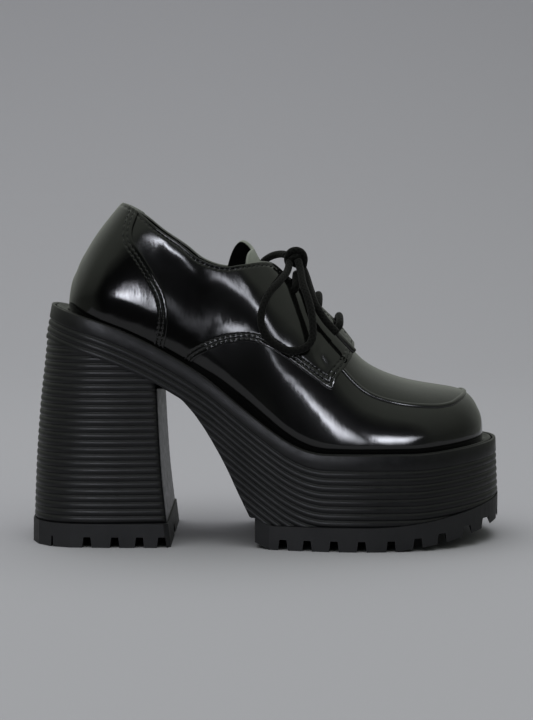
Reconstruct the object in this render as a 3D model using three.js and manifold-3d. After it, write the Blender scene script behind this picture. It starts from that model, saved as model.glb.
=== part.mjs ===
// A heeled, laced oxford shoe on a ribbed platform, for the right foot.
// Millimetres, +X to the toe, +Z up, and the outer side of the foot faces -Y.
// The floor is z = 0, and the middle of the shoe's length is x = 0.

import * as THREE from 'three';
import Module from 'manifold-3d';
import { mergeVertices } from 'three/addons/utils/BufferGeometryUtils.js';

const wasm = await Module();
wasm.setup();

// Main sizes
const shoeLength = 264; // tread, from the back of the heel to the toe
const ballWidth = 93; // top of the platform, across the ball of the foot
const heelHeight = 132.5; // rim of the sole above the floor, at the back
const platformHeight = 52; // rim of the sole above the floor, under the ball
const instepHeight = 92; // top of the throat above the rim

// Leather
const wall = 2; // vamp with its lining
const overlay = 1.2; // what lies over another piece stands this far over it
const tabCurl = 2.4; // the front ends of the facings lift this far more
const tabCurlLength = 16;
const seamWidth = 2.4; // raised apron seam
const seamHeight = 1.3;
const throatWidth = 17; // between the two facings
const throatCorner = 3;
const tongueThickness = 2;
const tongueHalfWidth = 21;
const tongueTaper = 2; // the front end is narrower by this on each side
const tongueCorner = 6;
const insoleThickness = 2.5;

// Sole
const heelLedge = 12; // the rim stands this far behind the vamp's own surface
const sideLedge = 4;
const toeLedge = 7.4;
const lipWidth = 1.8; // raised lip along the rim
const lipHeight = 1.6;
const weltGroove = 0.7; // between the lip and the welt bead
const weltHeight = 2.6;
const bandDepth = 8; // smooth band under the rim
const ribPitch = 3.8;
const ribDepth = 0.8;
const slopingRibs = 3; // on the heel, between the band and the level ribs
const heelFlare = 0.19; // spread with depth under the rim, at the back of the heel
const sideFlare = 0.05;
const treadHeight = 13;
const treadProud = 1.5; // the tread stands out past the sole unit
const treadCorner = 3;
const breastCorner = 2.5; // corners at the front of the heel block
const toeSpring = 12; // lift of the tread at the toe
const rearLift = 3.6; // lift of the forefoot tread at its rear edge
const rearLiftLength = 9;
const lugDepth = 5.8;
const lugGap = 5.4; // groove between two lugs, at the floor
const lugTaper = 0.3; // share of its width that the groove loses at its root
const slitGap = 1.2; // the last groove at each end is only a slit
const lugSkew = 6; // the grooves run this far forward from the sides to the middle

// Lace
const laceDiameter = 3.6;
const eyeletDiameter = 4;
const eyeletInset = 6.5; // from the edge of the facing
const knotWidth = 12;
const knotHeight = 10.6;
const knotPlace = [16.7, -1, 157.3];
const agletDiameter = 3;
const agletLength = 14;

// Fit
const clearance = 0.3; // between pieces that meet
const margin = 10; // a cut runs past the edge of a piece by this
const overhead = heelHeight + 2 * instepHeight; // clear above the whole shoe

// Places along the shoe, as shares of its length from the middle
const rimBack = -0.4565 * shoeLength;
const rimFront = 0.494 * shoeLength;
const vampBack = rimBack + heelLedge;
const vampFront = rimFront - toeLedge;
const heelRoundStart = -0.322 * shoeLength; // behind it the plan rounds to the heel
const toeRoundStart = 0.28 * shoeLength; // ahead of it the plan rounds to the toe
const toeSpringStart = 0.227 * shoeLength;
const forefootTreadBack = -0.024 * shoeLength;
const throatFront = 0.152 * shoeLength; // front end of the slit in the vamp
const throatBack = -0.06 * shoeLength; // behind the top of the facings
const facingFront = 0.175 * shoeLength;
const tongueFront = 0.2 * shoeLength;
const tongueFoot = 0.3 * instepHeight; // the tongue ends at this height above the rim
const eyeletRows = [
  { at: 0.1425, barLift: 0.05 },
  { at: 0.1025, barLift: 0.2 },
  { at: 0.056, barLift: 0.65 },
];
const heelGrooves = [-0.385, -0.327, -0.276, -0.23];
const heelSlit = -0.46;
const forefootGrooves = [0.0215, 0.0715, 0.1265, 0.183, 0.243, 0.298, 0.348, 0.402, 0.444];
const forefootSlit = 0.472;

// Line of the rim: at is a share of the length, rise a share of the climb from platform to heel.
const rimRows = [
  { at: -0.4565, rise: 1.0 },
  { at: -0.405, rise: 0.943 },
  { at: -0.34, rise: 0.878 },
  { at: -0.27, rise: 0.782 },
  { at: -0.2, rise: 0.66 },
  { at: -0.13, rise: 0.515 },
  { at: -0.06, rise: 0.33 },
  { at: 0.0, rise: 0.175 },
  { at: 0.05, rise: 0.066 },
  { at: 0.085, rise: 0.018 },
  { at: 0.12, rise: 0.0 },
  { at: 0.3, rise: 0.0 },
  { at: 0.4, rise: 0.025 },
  { at: 0.494, rise: 0.056 },
];

// Plan of the upper: half is a share of the ball width, bend the sideways place of its middle.
const planRows = [
  { at: -0.322, half: 0.344, bend: 0.016 },
  { at: -0.21, half: 0.326, bend: 0.01 },
  { at: -0.13, half: 0.318, bend: 0.0 },
  { at: -0.057, half: 0.334, bend: -0.008 },
  { at: 0.038, half: 0.388, bend: -0.009 },
  { at: 0.133, half: 0.436, bend: -0.005 },
  { at: 0.208, half: 0.452, bend: 0.0 },
  { at: 0.284, half: 0.446, bend: 0.009 },
  { at: 0.36, half: 0.436, bend: 0.024 },
  { at: 0.466, half: 0.42, bend: 0.05 },
];

// Side outline of the last: crown is a share of the instep height above the rim. Above the collar
// it closes over the ankle, and that part is cut away.
const crownRows = [
  { at: -0.411, crown: 0.058 },
  { at: -0.4085, crown: 0.117 },
  { at: -0.4045, crown: 0.178 },
  { at: -0.395, crown: 0.247 },
  { at: -0.386, crown: 0.315 },
  { at: -0.3735, crown: 0.387 },
  { at: -0.3605, crown: 0.46 },
  { at: -0.346, crown: 0.534 },
  { at: -0.3295, crown: 0.609 },
  { at: -0.313, crown: 0.686 },
  { at: -0.301, crown: 0.74 },
  { at: -0.265, crown: 0.86 },
  { at: -0.19, crown: 1.04 },
  { at: -0.114, crown: 1.09 },
  { at: -0.038, crown: 1.08 },
  { at: 0.0, crown: 1.045 },
  { at: 0.019, crown: 1.012 },
  { at: 0.038, crown: 0.985 },
  { at: 0.061, crown: 0.968 },
  { at: 0.1, crown: 0.898 },
  { at: 0.125, crown: 0.826 },
  { at: 0.151, crown: 0.732 },
  { at: 0.174, crown: 0.628 },
  { at: 0.2, crown: 0.536 },
  { at: 0.234, crown: 0.471 },
  { at: 0.283, crown: 0.415 },
  { at: 0.332, crown: 0.378 },
  { at: 0.381, crown: 0.342 },
  { at: 0.411, crown: 0.318 },
  { at: 0.431, crown: 0.285 },
  { at: 0.445, crown: 0.24 },
  { at: 0.4545, crown: 0.19 },
  { at: 0.462, crown: 0.14 },
  { at: 0.466, crown: 0.09 },
];

// Cross sections: belly is the height of the widest point as a share of the crown, top and side
// are the powers of the curve over it, and tuck draws the foot of the wall in.
const sectionRows = [
  { at: -0.41, belly: 0.3, top: 1.6, side: 1.6, tuck: 0.06 },
  { at: -0.34, belly: 0.28, top: 1.8, side: 1.8, tuck: 0.08 },
  { at: -0.25, belly: 0.22, top: 2.2, side: 2.0, tuck: 0.1 },
  { at: -0.1, belly: 0.2, top: 2.2, side: 2.0, tuck: 0.1 },
  { at: 0.03, belly: 0.2, top: 2.0, side: 2.0, tuck: 0.08 },
  { at: 0.15, belly: 0.24, top: 1.9, side: 2.0, tuck: 0.07 },
  { at: 0.22, belly: 0.3, top: 2.0, side: 2.0, tuck: 0.07 },
  { at: 0.33, belly: 0.32, top: 2.2, side: 2.2, tuck: 0.07 },
  { at: 0.42, belly: 0.3, top: 2.2, side: 2.2, tuck: 0.06 },
  { at: 0.47, belly: 0.3, top: 2.0, side: 2.0, tuck: 0.05 },
];

// Edges seen from the side: up is a share of the instep height above the rim.
const collarRows = [
  { at: -0.304, up: 0.735 },
  { at: -0.296, up: 0.741 },
  { at: -0.264, up: 0.73 },
  { at: -0.225, up: 0.697 },
  { at: -0.177, up: 0.682 },
  { at: -0.142, up: 0.667 },
  { at: -0.106, up: 0.702 },
  { at: -0.08, up: 0.753 },
  { at: -0.059, up: 0.81 },
  { at: -0.012, up: 0.935 },
  { at: 0.009, up: 0.972 },
  { at: 0.024, up: 0.973 },
  { at: 0.034, up: 0.965 },
];
const quarterRows = [
  { at: -0.166, up: -0.05 },
  { at: -0.155, up: 0.038 },
  { at: -0.1356, up: 0.12 },
  { at: -0.0886, up: 0.285 },
  { at: -0.035, up: 0.427 },
  { at: 0.005, up: 0.484 },
  { at: 0.033, up: 0.493 },
  { at: 0.063, up: 0.479 },
  { at: 0.098, up: 0.439 },
  { at: 0.1326, up: 0.374 },
];
const tabRows = [
  { at: 0.144, up: 0.451 },
  { at: 0.16, up: 0.509 },
  { at: 0.17, up: 0.554 },
  { at: 0.175, up: 0.62 },
  { at: 0.174, up: 0.69 },
  { at: 0.172, up: 0.9 },
];
const counterRows = [
  { at: -0.219, up: -0.05 },
  { at: -0.208, up: 0.116 },
  { at: -0.205, up: 0.222 },
  { at: -0.208, up: 0.299 },
  { at: -0.215, up: 0.355 },
  { at: -0.229, up: 0.407 },
  { at: -0.243, up: 0.453 },
  { at: -0.262, up: 0.509 },
  { at: -0.2765, up: 0.554 },
  { at: -0.278, up: 0.61 },
  { at: -0.264, up: 0.75 },
];

// Apron seam in plan: reach is a share of the local half width.
const apronRows = [
  { at: 0.146, reach: 0.7 },
  { at: 0.18, reach: 0.78 },
  { at: 0.23, reach: 0.84 },
  { at: 0.3, reach: 0.86 },
  { at: 0.35, reach: 0.85 },
  { at: 0.385, reach: 0.8 },
  { at: 0.405, reach: 0.66 },
  { at: 0.417, reach: 0.4 },
  { at: 0.421, reach: 0.0 },
];

// Underside of the shank: depth is a share of the platform height below the rim.
const archRows = [
  { at: -0.212, depth: 0.385 },
  { at: -0.18, depth: 0.388 },
  { at: -0.157, depth: 0.433 },
  { at: -0.132, depth: 0.52 },
  { at: -0.108, depth: 0.627 },
  { at: -0.083, depth: 0.758 },
  { at: -0.059, depth: 0.92 },
  { at: -0.034, depth: 1.08 },
];

// Heel block: up is a share of the heel height, half a share of the ball width, and power
// squares its corners.
const heelRows = [
  { up: 0.0, back: -0.4965, breast: -0.201, half: 0.418, power: 3.2 },
  { up: 0.1, back: -0.496, breast: -0.207, half: 0.414, power: 3.1 },
  { up: 0.32, back: -0.492, breast: -0.218, half: 0.403, power: 2.9 },
  { up: 0.58, back: -0.4825, breast: -0.225, half: 0.394, power: 2.7 },
  { up: 0.75, back: -0.473, breast: -0.228, half: 0.389, power: 2.5 },
  { up: 0.93, back: -0.463, breast: -0.228, half: 0.387, power: 2.4 },
];

// Side outline of the tongue above the lacing, in the same terms as the crown of the last.
const tongueRows = [
  { at: -0.085, crown: 1.15 },
  { at: -0.038, crown: 1.047 },
  { at: -0.008, crown: 0.972 },
  { at: 0.02, crown: 0.972 },
  { at: 0.045, crown: 0.979 },
];

// Rear end of the tongue in plan: across is a share of its half width, at a share of the length.
const tongueEndRows = [
  { across: -1.0, at: -0.053 },
  { across: -0.6, at: -0.038 },
  { across: 0.0, at: -0.038 },
  { across: 0.6, at: -0.055 },
  { across: 1.0, at: -0.075 },
];

// Routes of the free lace, from the knot. Each loop comes back to the knot.
const outerLoop = [
  [12.9, -6.3, 155.2], [11.5, -13, 150.2], [6.9, -23, 144.6], [1.4, -30.5, 138.7], [-1.9, -35, 131.4],
  [-3, -37, 123.9], [-1.3, -37.6, 118], [3.5, -38, 112.1], [11.1, -38.4, 108.3], [17, -38.4, 108.3],
  [21.9, -37.8, 110.4], [24.6, -36.4, 114.1], [25.1, -34.6, 119.4], [24.4, -31, 128.4],
  [22.6, -26.5, 135.9], [20.1, -20, 143.3], [19, -13, 150], [17.7, -7.6, 155.9],
];
const innerLoop = [
  [12, 3.6, 158.9], [7.7, 10.5, 159.4], [2.6, 17.5, 158], [-2, 24, 154.6], [-5, 30, 149], [-6.4, 34, 141.5],
  [-5.6, 36.6, 134], [-1.6, 38.2, 127], [4.4, 38.8, 122.6], [11, 38.8, 121.6], [16.8, 38.2, 124.4],
  [20.4, 36, 130], [21.4, 32, 137], [20.6, 25, 144.5], [19, 15.5, 151.5], [17.6, 5.6, 156.6],
];
const outerEnd = [
  [19.9, -3.2, 152.4], [21.7, -7, 147.4], [23.6, -13, 141], [25.7, -18.8, 135], [28.2, -23.4, 129.8],
  [32.5, -26, 123.3], [38.5, -28.2, 116.8],
];
const innerEnd = [
  [20.2, 1.9, 153.1], [24.5, 8, 147], [28.6, 14.2, 140.4], [32.6, 19, 134], [35, 22, 129],
  [38, 25, 122.5], [42, 28, 115.5],
];

// Curves and tables

// A curve through the rows of a table, smooth and without overshoot, level beyond its ends.
function curveThrough(places, values) {
  const last = places.length - 1;
  const steps = places.slice(1).map((place, i) => place - places[i]);
  const slopes = steps.map((step, i) => (values[i + 1] - values[i]) / step);
  const tangents = values.map((value, i) => {
    if (i === 0) return slopes[0];
    if (i === last) return slopes[last - 1];
    if (slopes[i - 1] * slopes[i] <= 0) return 0;
    const before = 2 * steps[i] + steps[i - 1];
    const after = steps[i] + 2 * steps[i - 1];
    return (before + after) / (before / slopes[i - 1] + after / slopes[i]);
  });
  return (place) => {
    if (place <= places[0]) return values[0];
    if (place >= places[last]) return values[last];
    const i = places.findIndex((next) => next > place) - 1;
    const t = (place - places[i]) / steps[i];
    const bend = (1 - t) * tangents[i] * steps[i] - t * tangents[i + 1] * steps[i];
    const chord = values[i + 1] - values[i];
    return values[i] + chord * t + t * (1 - t) * (bend + (2 * t - 1) * chord);
  };
}

function column(rows, name, scale = 1) {
  const places = rows.map((row) => row.at * shoeLength);
  return curveThrough(places, rows.map((row) => row[name] * scale));
}

function heelColumn(name, scale) {
  const heights = heelRows.map((row) => row.up * heelHeight);
  return curveThrough(heights, heelRows.map((row) => row[name] * scale));
}

// Evenly numbered places, close together at both ends.
function easedPlaces(start, end, count) {
  const places = [];
  for (let i = 0; i <= count; i += 1) {
    places.push(start + ((end - start) * (1 - Math.cos((Math.PI * i) / count))) / 2);
  }
  return places;
}

function evenPlaces(start, end, count) {
  return Array.from({ length: count + 1 }, (unused, i) => start + ((end - start) * i) / count);
}

// Height along a curve that was moved out of its own line by a distance.
function outsetCurve(curve, start, end, distance) {
  const samples = 160;
  const points = easedPlaces(start, end, samples).map((x) => new THREE.Vector2(x, curve(x)));
  const moved = points.map((point, i) => {
    const along = points[Math.min(i + 1, samples)].clone().sub(points[Math.max(i - 1, 0)]).normalize();
    const reach = distance(point.x);
    return new THREE.Vector2(point.x - along.y * reach, point.y + along.x * reach);
  });
  return (x) => {
    if (x <= moved[0].x) return moved[0].y;
    if (x >= moved[samples].x) return moved[samples].y;
    const i = moved.findIndex((point) => point.x > x);
    const share = (x - moved[i - 1].x) / (moved[i].x - moved[i - 1].x);
    return moved[i - 1].y + share * (moved[i].y - moved[i - 1].y);
  };
}

const rise = column(rimRows, 'rise', heelHeight - platformHeight);
const rim = (x) => platformHeight + rise(x);
const deck = (x) => rim(x) - lipHeight;
const bend = column(planRows, 'bend', ballWidth);
const tableHalf = column(planRows, 'half', ballWidth);
const crownShare = column(crownRows, 'crown', instepHeight);
const belly = column(sectionRows, 'belly');
const topPower = column(sectionRows, 'top');
const sidePower = column(sectionRows, 'side');
const tuck = column(sectionRows, 'tuck');
const throatMiddle = bend(0.1 * shoeLength);

// Half width in plan, rounded off at the heel and the toe.
function roundedHalf(x, half, back, front) {
  const heelPower = 2.3;
  const toePower = 2.15;
  let share = 1;
  if (x < heelRoundStart) {
    const t = Math.min((heelRoundStart - x) / (heelRoundStart - back), 1);
    share = (1 - t ** heelPower) ** (1 / heelPower);
  } else if (x > toeRoundStart) {
    const t = Math.min((x - toeRoundStart) / (front - toeRoundStart), 1);
    share = (1 - t ** toePower) ** (1 / toePower);
  }
  return half * share;
}

// Lift of the tread's underside above the floor.
function treadLift(x) {
  const ahead = Math.max(x - toeSpringStart, 0) / (shoeLength / 2 - toeSpringStart);
  const behind = Math.max(forefootTreadBack + rearLiftLength - x, 0) / rearLiftLength;
  return toeSpring * ahead ** 1.6 + (x > forefootTreadBack - 30 ? rearLift * Math.min(behind, 1) ** 1.5 : 0);
}

const layerPlaces = evenPlaces(rimBack - margin, rimFront + margin, 29);
const treadTop = (x) => treadHeight + treadLift(x);
const treadPlaces = evenPlaces(forefootTreadBack - 5, shoeLength / 2 + 5, 40);

// Solids

function signedVolume(positions, index) {
  const corner = (i) => new THREE.Vector3().fromArray(positions, 3 * index[i]);
  let volume = 0;
  for (let i = 0; i < index.length; i += 3) {
    volume += corner(i).dot(corner(i + 1).cross(corner(i + 2))) / 6;
  }
  return volume;
}

// A closed solid from a closed geometry, with its faces turned outwards.
function toSolid(geometry) {
  geometry.deleteAttribute('normal');
  geometry.deleteAttribute('uv');
  const merged = mergeVertices(geometry, 1e-4);
  const positions = new Float32Array(merged.attributes.position.array);
  const index = new Uint32Array(merged.index.array);
  if (signedVolume(positions, index) < 0) index.reverse();
  return new wasm.Manifold(new wasm.Mesh({ numProp: 3, vertProperties: positions, triVerts: index }));
}

function toGeometry(solid) {
  const mesh = solid.getMesh();
  const geometry = new THREE.BufferGeometry();
  geometry.setAttribute('position', new THREE.BufferAttribute(mesh.vertProperties, 3));
  geometry.setIndex(new THREE.BufferAttribute(mesh.triVerts, 1));
  geometry.computeVertexNormals();
  return geometry;
}

// A closed skin over rings of points that all have the same count. A ring runs up one side and
// back down the other, so each end is closed by a ladder between its two halves.
function ladderLoft(rings) {
  const count = rings[0].length;
  const positions = rings.flat().flatMap((point) => [point.x, point.y, point.z]);
  const index = [];
  for (let r = 0; r + 1 < rings.length; r += 1) {
    for (let i = 0; i < count; i += 1) {
      const a = r * count + i;
      const b = r * count + ((i + 1) % count);
      index.push(a, b, b + count, a, b + count, a + count);
    }
  }
  const top = (rings.length - 1) * count;
  for (let i = 0; i < count / 2; i += 1) {
    const near = [i, i + 1, (count - i) % count, count - i - 1];
    if (i > 0) {
      index.push(near[0], near[2], near[1]);
      index.push(top + near[0], top + near[1], top + near[2]);
    }
    if (near[1] !== near[3]) {
      index.push(near[1], near[2], near[3]);
      index.push(top + near[1], top + near[3], top + near[2]);
    }
  }
  const geometry = new THREE.BufferGeometry();
  geometry.setAttribute('position', new THREE.Float32BufferAttribute(positions, 3));
  geometry.setIndex(index);
  return toSolid(geometry);
}

// A side view outline, as deep as the whole shoe is wide.
function sideSolid(points) {
  const shape = new THREE.Shape(points.map((point) => new THREE.Vector2(point[0], point[1])));
  const depth = 2 * ballWidth;
  const geometry = new THREE.ExtrudeGeometry(shape, { depth, bevelEnabled: false });
  geometry.rotateX(Math.PI / 2);
  geometry.translate(0, depth / 2, 0);
  return toSolid(geometry);
}

function planSolid(points, low, high) {
  const shape = new THREE.Shape(points.map((point) => new THREE.Vector2(point[0], point[1])));
  const geometry = new THREE.ExtrudeGeometry(shape, { depth: high - low, bevelEnabled: false });
  geometry.translate(0, 0, low);
  return toSolid(geometry);
}

// The space between two heights that follow the length of the shoe.
function layer(lower, upper) {
  const bottom = layerPlaces.map((x) => [x, lower(x)]);
  const top = layerPlaces.map((x) => [x, upper(x)]);
  return sideSolid([...bottom, ...top.reverse()]);
}

// An edge seen from the side, from its table.
function sideEdge(rows) {
  return rows.map((row) => {
    const x = row.at * shoeLength;
    return [x, rim(x) + row.up * instepHeight];
  });
}

// The form of the last

const sectionPlaces = easedPlaces(vampBack, vampFront, 28);
const sectionSteps = 6;

// Half width of a section at its widest, and the height of its crown.
function lastMeasures(offset, crown) {
  const plan = (x) => roundedHalf(x, tableHalf(x), vampBack, vampFront);
  return {
    half: outsetCurve(plan, vampBack, vampFront, offset),
    crown: outsetCurve(crown, vampBack, vampFront, offset),
  };
}

function crownHeight(x) {
  return rim(x) + crownShare(x);
}

// Height of the last's surface at a place in plan.
function surfaceHeight(measures, x, y) {
  const low = rim(x) + belly(x) * (measures.crown(x) - rim(x));
  const across = Math.min(Math.abs(y - bend(x)) / measures.half(x), 1);
  return low + (measures.crown(x) - low) * (1 - across ** sidePower(x)) ** (1 / topPower(x));
}

function outwardAt(measures, x, y) {
  const step = 1;
  const height = (dx, dy) => surfaceHeight(measures, x + dx, y + dy);
  const slopeX = (height(step, 0) - height(-step, 0)) / (2 * step);
  const slopeY = (height(0, step) - height(0, -step)) / (2 * step);
  return new THREE.Vector3(-slopeX, -slopeY, 1).normalize();
}

// The whole last, moved out of the vamp's own surface by a distance, and going on below the rim.
function lastSolid(offset, crown = crownHeight) {
  const reach = typeof offset === 'number' ? () => offset : offset;
  const measures = lastMeasures(reach, crown);
  const middle = (vampBack + vampFront) / 2;
  const span = (vampFront - vampBack) / 2;
  const endPower = 9;
  const rings = sectionPlaces.map((place) => {
    const share = (place - middle) / span;
    const x = place + reach(place) * share ** endPower;
    const foot = rim(x);
    const top = Math.max(measures.crown(x), foot + 1);
    const low = foot + belly(x) * (top - foot);
    const half = Math.max(measures.half(x), 0.4);
    const up = [];
    up.push([half * (1 - tuck(x)), foot - 2 * weltHeight]);
    up.push([half * (1 - tuck(x)), foot - lipHeight]);
    for (let i = 0; i < sectionSteps; i += 1) {
      const angle = (Math.PI / 2) * (i / sectionSteps);
      const across = half * Math.cos(angle) ** (2 / sidePower(x));
      up.push([across, low + (top - low) * Math.sin(angle) ** (2 / topPower(x))]);
    }
    const near = up.map(([across, z]) => new THREE.Vector3(x, bend(x) - across, z));
    const far = up.map(([across, z]) => new THREE.Vector3(x, bend(x) + across, z)).reverse();
    const floor = new THREE.Vector3(x, bend(x), foot - 2 * weltHeight);
    return [floor, ...near, new THREE.Vector3(x, bend(x), top), ...far];
  });
  return ladderLoft(rings);
}

// Upper

// How far the quarters stand over the vamp: their front ends curl up.
function facingReach(x) {
  return overlay + tabCurl * THREE.MathUtils.smoothstep(x, facingFront - tabCurlLength, facingFront);
}

function collarCutter() {
  const up = column(collarRows, 'up', instepHeight);
  const start = collarRows[0].at * shoeLength;
  const end = collarRows[collarRows.length - 1].at * shoeLength;
  const line = evenPlaces(start, end, 20).map((x) => [x, rim(x) + up(x)]);
  const [startX, startZ] = line[0];
  const endX = line[line.length - 1][0] + 3;
  const behind = startX - 2 * margin;
  return sideSolid([[behind, startZ - 2], ...line, [endX, startZ], [endX, overhead], [behind, overhead]]);
}

// Everything behind an edge that is seen from the side.
function behindEdge(edge) {
  const behind = vampBack - heelLedge;
  const last = edge[edge.length - 1];
  return sideSolid([[behind, 0], [edge[0][0], 0], ...edge, [last[0], overhead], [behind, overhead]]);
}

function throatCutter(front) {
  const half = throatWidth / 2;
  const inner = half - throatCorner;
  return planSolid([
    [throatBack, throatMiddle - half], [front - throatCorner, throatMiddle - half],
    [front, throatMiddle - inner], [front, throatMiddle + inner],
    [front - throatCorner, throatMiddle + half], [throatBack, throatMiddle + half],
  ], 0, overhead);
}

function apronOutline(widen) {
  const reach = column(apronRows, 'reach');
  const half = lastMeasures(() => 0, crownHeight).half;
  const front = apronRows[apronRows.length - 1].at * shoeLength;
  const back = apronRows[0].at * shoeLength;
  const places = easedPlaces(2 * back - front, front, 26).filter((x) => x >= back);
  const near = places.map((x) => new THREE.Vector2(x, reach(x) * half(x)));
  const moved = near.map((point, i) => {
    const along = near[Math.min(i + 1, near.length - 1)].clone().sub(near[Math.max(i - 1, 0)]).normalize();
    if (i === near.length - 1) return [point.x + widen, 0];
    return [point.x - along.y * widen, point.y + along.x * widen];
  });
  const lateral = moved.map(([x, y]) => [x, bend(x) - y]);
  const medial = moved.slice(0, -1).map(([x, y]) => [x, bend(x) + y]);
  return [...lateral, ...medial.reverse()];
}

function apronSeam() {
  const low = platformHeight;
  const high = heelHeight + instepHeight;
  const ring = planSolid(apronOutline(seamWidth / 2), low, high)
    .subtract(planSolid(apronOutline(-seamWidth / 2), low, high));
  return lastSolid(seamHeight).intersect(ring);
}

function eyeletCutters(measures) {
  const cutters = [];
  for (const row of eyeletRows) {
    for (const side of [-1, 1]) {
      const x = row.at * shoeLength;
      const y = bend(x) + side * (throatWidth / 2 + eyeletInset);
      const radius = eyeletDiameter / 2;
      const geometry = new THREE.CylinderGeometry(radius, radius, 6 * wall, 8);
      const outward = outwardAt(measures, x, y);
      geometry.applyQuaternion(new THREE.Quaternion().setFromUnitVectors(THREE.Object3D.DEFAULT_UP, outward));
      geometry.translate(x, y, surfaceHeight(measures, x, y));
      cutters.push(toSolid(geometry));
    }
  }
  return cutters;
}

function makeUpper() {
  const quarterEdge = [...sideEdge(quarterRows), ...sideEdge(tabRows)];
  const quarters = lastSolid(facingReach).intersect(behindEdge(quarterEdge))
    .subtract(throatCutter(facingFront + 2 * throatCorner));
  const counter = lastSolid(2 * overlay).intersect(behindEdge(sideEdge(counterRows)));
  const inside = lastSolid(-wall);
  const below = layer(() => 0, (x) => deck(x) + clearance);
  let upper = lastSolid(0).add(apronSeam()).subtract(throatCutter(throatFront));
  upper = upper.add(quarters).add(counter).subtract(inside).subtract(below).subtract(collarCutter());
  for (const cutter of eyeletCutters(lastMeasures(() => 0, crownHeight))) {
    upper = upper.subtract(cutter);
  }
  return upper;
}

// Tongue: under the facings it follows the last, and above them it kicks up.
const tongueShare = column(tongueRows, 'crown', instepHeight);

function tongueCrown(x) {
  const top = tongueRows[tongueRows.length - 1].at * shoeLength;
  return x > top ? crownHeight(x) : rim(x) + tongueShare(x);
}

function makeTongue() {
  const outer = -wall - clearance;
  const sheet = lastSolid(outer, tongueCrown).subtract(lastSolid(outer - tongueThickness, tongueCrown));
  const end = curveThrough(
    tongueEndRows.map((row) => row.across * tongueHalfWidth),
    tongueEndRows.map((row) => row.at * shoeLength),
  );
  const rear = evenPlaces(-tongueHalfWidth, tongueHalfWidth, 12).map((y) => [end(y), throatMiddle + y]);
  const half = tongueHalfWidth - tongueTaper;
  const inner = half - tongueCorner;
  const outline = planSolid([
    ...rear,
    [tongueFront - tongueCorner, throatMiddle + half], [tongueFront, throatMiddle + inner],
    [tongueFront, throatMiddle - inner], [tongueFront - tongueCorner, throatMiddle - half],
  ], 0, overhead);
  const above = layer((x) => rim(x) + tongueFoot, () => overhead);
  return sheet.intersect(outline).intersect(above);
}

function makeInsole() {
  const low = (x) => deck(x) + clearance;
  const high = (x) => deck(x) + clearance + insoleThickness;
  return lastSolid(-wall - clearance).intersect(layer(low, high));
}

// Sole

// Plan outline of the rim as a ring, moved out by a distance, and spreading with depth under it.
function rimRing(offset, height, depth = 0) {
  const back = rimBack - offset - depth * heelFlare;
  const front = rimFront + offset + depth * sideFlare;
  const side = sideLedge + offset + depth * sideFlare;
  const half = (x) => roundedHalf(x, tableHalf(x) + side, back, front);
  const places = easedPlaces(back, front, 20);
  const near = places.map((x) => new THREE.Vector3(x, bend(x) - half(x), height(x)));
  const far = places.slice(1, -1).map((x) => new THREE.Vector3(x, bend(x) + half(x), height(x)));
  return [...near, ...far.reverse()];
}

// Everything inside the rim's plan outline.
function rimWell(offset) {
  return ladderLoft([rimRing(offset, () => 0), rimRing(offset, () => overhead)]);
}

function ribLevels(start, end) {
  const levels = [];
  const count = Math.round((end - start) / ribPitch);
  for (let i = 0; i <= count; i += 1) {
    levels.push({ depth: start + i * ribPitch, inset: ribDepth });
    levels.push({ depth: start + (i + 0.5) * ribPitch, inset: 0 });
  }
  return levels;
}

// Platform, shank and the top of the heel, with ribs that follow the rim.
function platformBody() {
  const deepest = 1.1 * platformHeight;
  const firstGroove = bandDepth + ribDepth;
  const levels = [{ depth: 0, inset: 0 }, { depth: bandDepth, inset: 0 }, ...ribLevels(firstGroove, deepest)];
  const rings = levels.map(({ depth, inset }) => rimRing(-inset, (x) => rim(x) - depth, depth));
  const arch = column(archRows, 'depth', platformHeight);
  const archStart = archRows[0].at * shoeLength;
  const under = evenPlaces(archStart, forefootTreadBack, 12)
    .map((x) => [x, Math.max(rim(x) - arch(x), treadTop(x) + clearance)]);
  const seat = treadPlaces.filter((x) => x > forefootTreadBack).map((x) => [x, treadTop(x) + clearance]);
  const back = rimBack - margin;
  const outline = [
    [back, rim(rimBack) - arch(archStart)], [vampBack, rim(vampBack) - arch(archStart)],
    ...under, ...seat, [treadPlaces[treadPlaces.length - 1], overhead], [back, overhead],
  ];
  return ladderLoft(rings.reverse()).intersect(sideSolid(outline));
}

// Plan of the heel block at a height, spread by a distance at the back and sides, and at the breast.
function heelRing(z, spread, breastSpread = 0) {
  const back = heelColumn('back', shoeLength)(z) - spread;
  const breast = heelColumn('breast', shoeLength)(z) + breastSpread;
  const half = heelColumn('half', ballWidth)(z) + spread;
  const power = heelColumn('power', 1)(z);
  const middle = bend(heelRoundStart);
  const centre = heelRoundStart;
  const points = [];
  const steps = 5;
  for (let i = 1; i <= steps; i += 1) {
    const angle = (Math.PI / 2) * (i / steps);
    points.push([
      centre - (centre - back) * Math.cos(angle) ** (2 / power),
      half * Math.sin(angle) ** (2 / power),
    ]);
  }
  points.push([breast - breastCorner, half]);
  points.push([breast, half - breastCorner]);
  const near = points.map(([x, y]) => new THREE.Vector3(x, middle - y, z));
  const far = points.map(([x, y]) => new THREE.Vector3(x, middle + y, z)).reverse();
  return [new THREE.Vector3(back, middle, z), ...near, new THREE.Vector3(breast, middle, z), ...far];
}

function heelBody() {
  const low = treadHeight + clearance;
  const rings = [];
  const count = Math.floor((heelHeight - low) / ribPitch);
  for (let i = 0; i < count; i += 1) {
    rings.push(heelRing(low + i * ribPitch, i === 0 ? 0 : -ribDepth));
    rings.push(heelRing(low + (i + 0.5) * ribPitch, 0));
  }
  const depth = bandDepth + slopingRibs * ribPitch - clearance;
  return ladderLoft(rings).intersect(layer(() => 0, (x) => rim(x) - depth));
}

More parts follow.
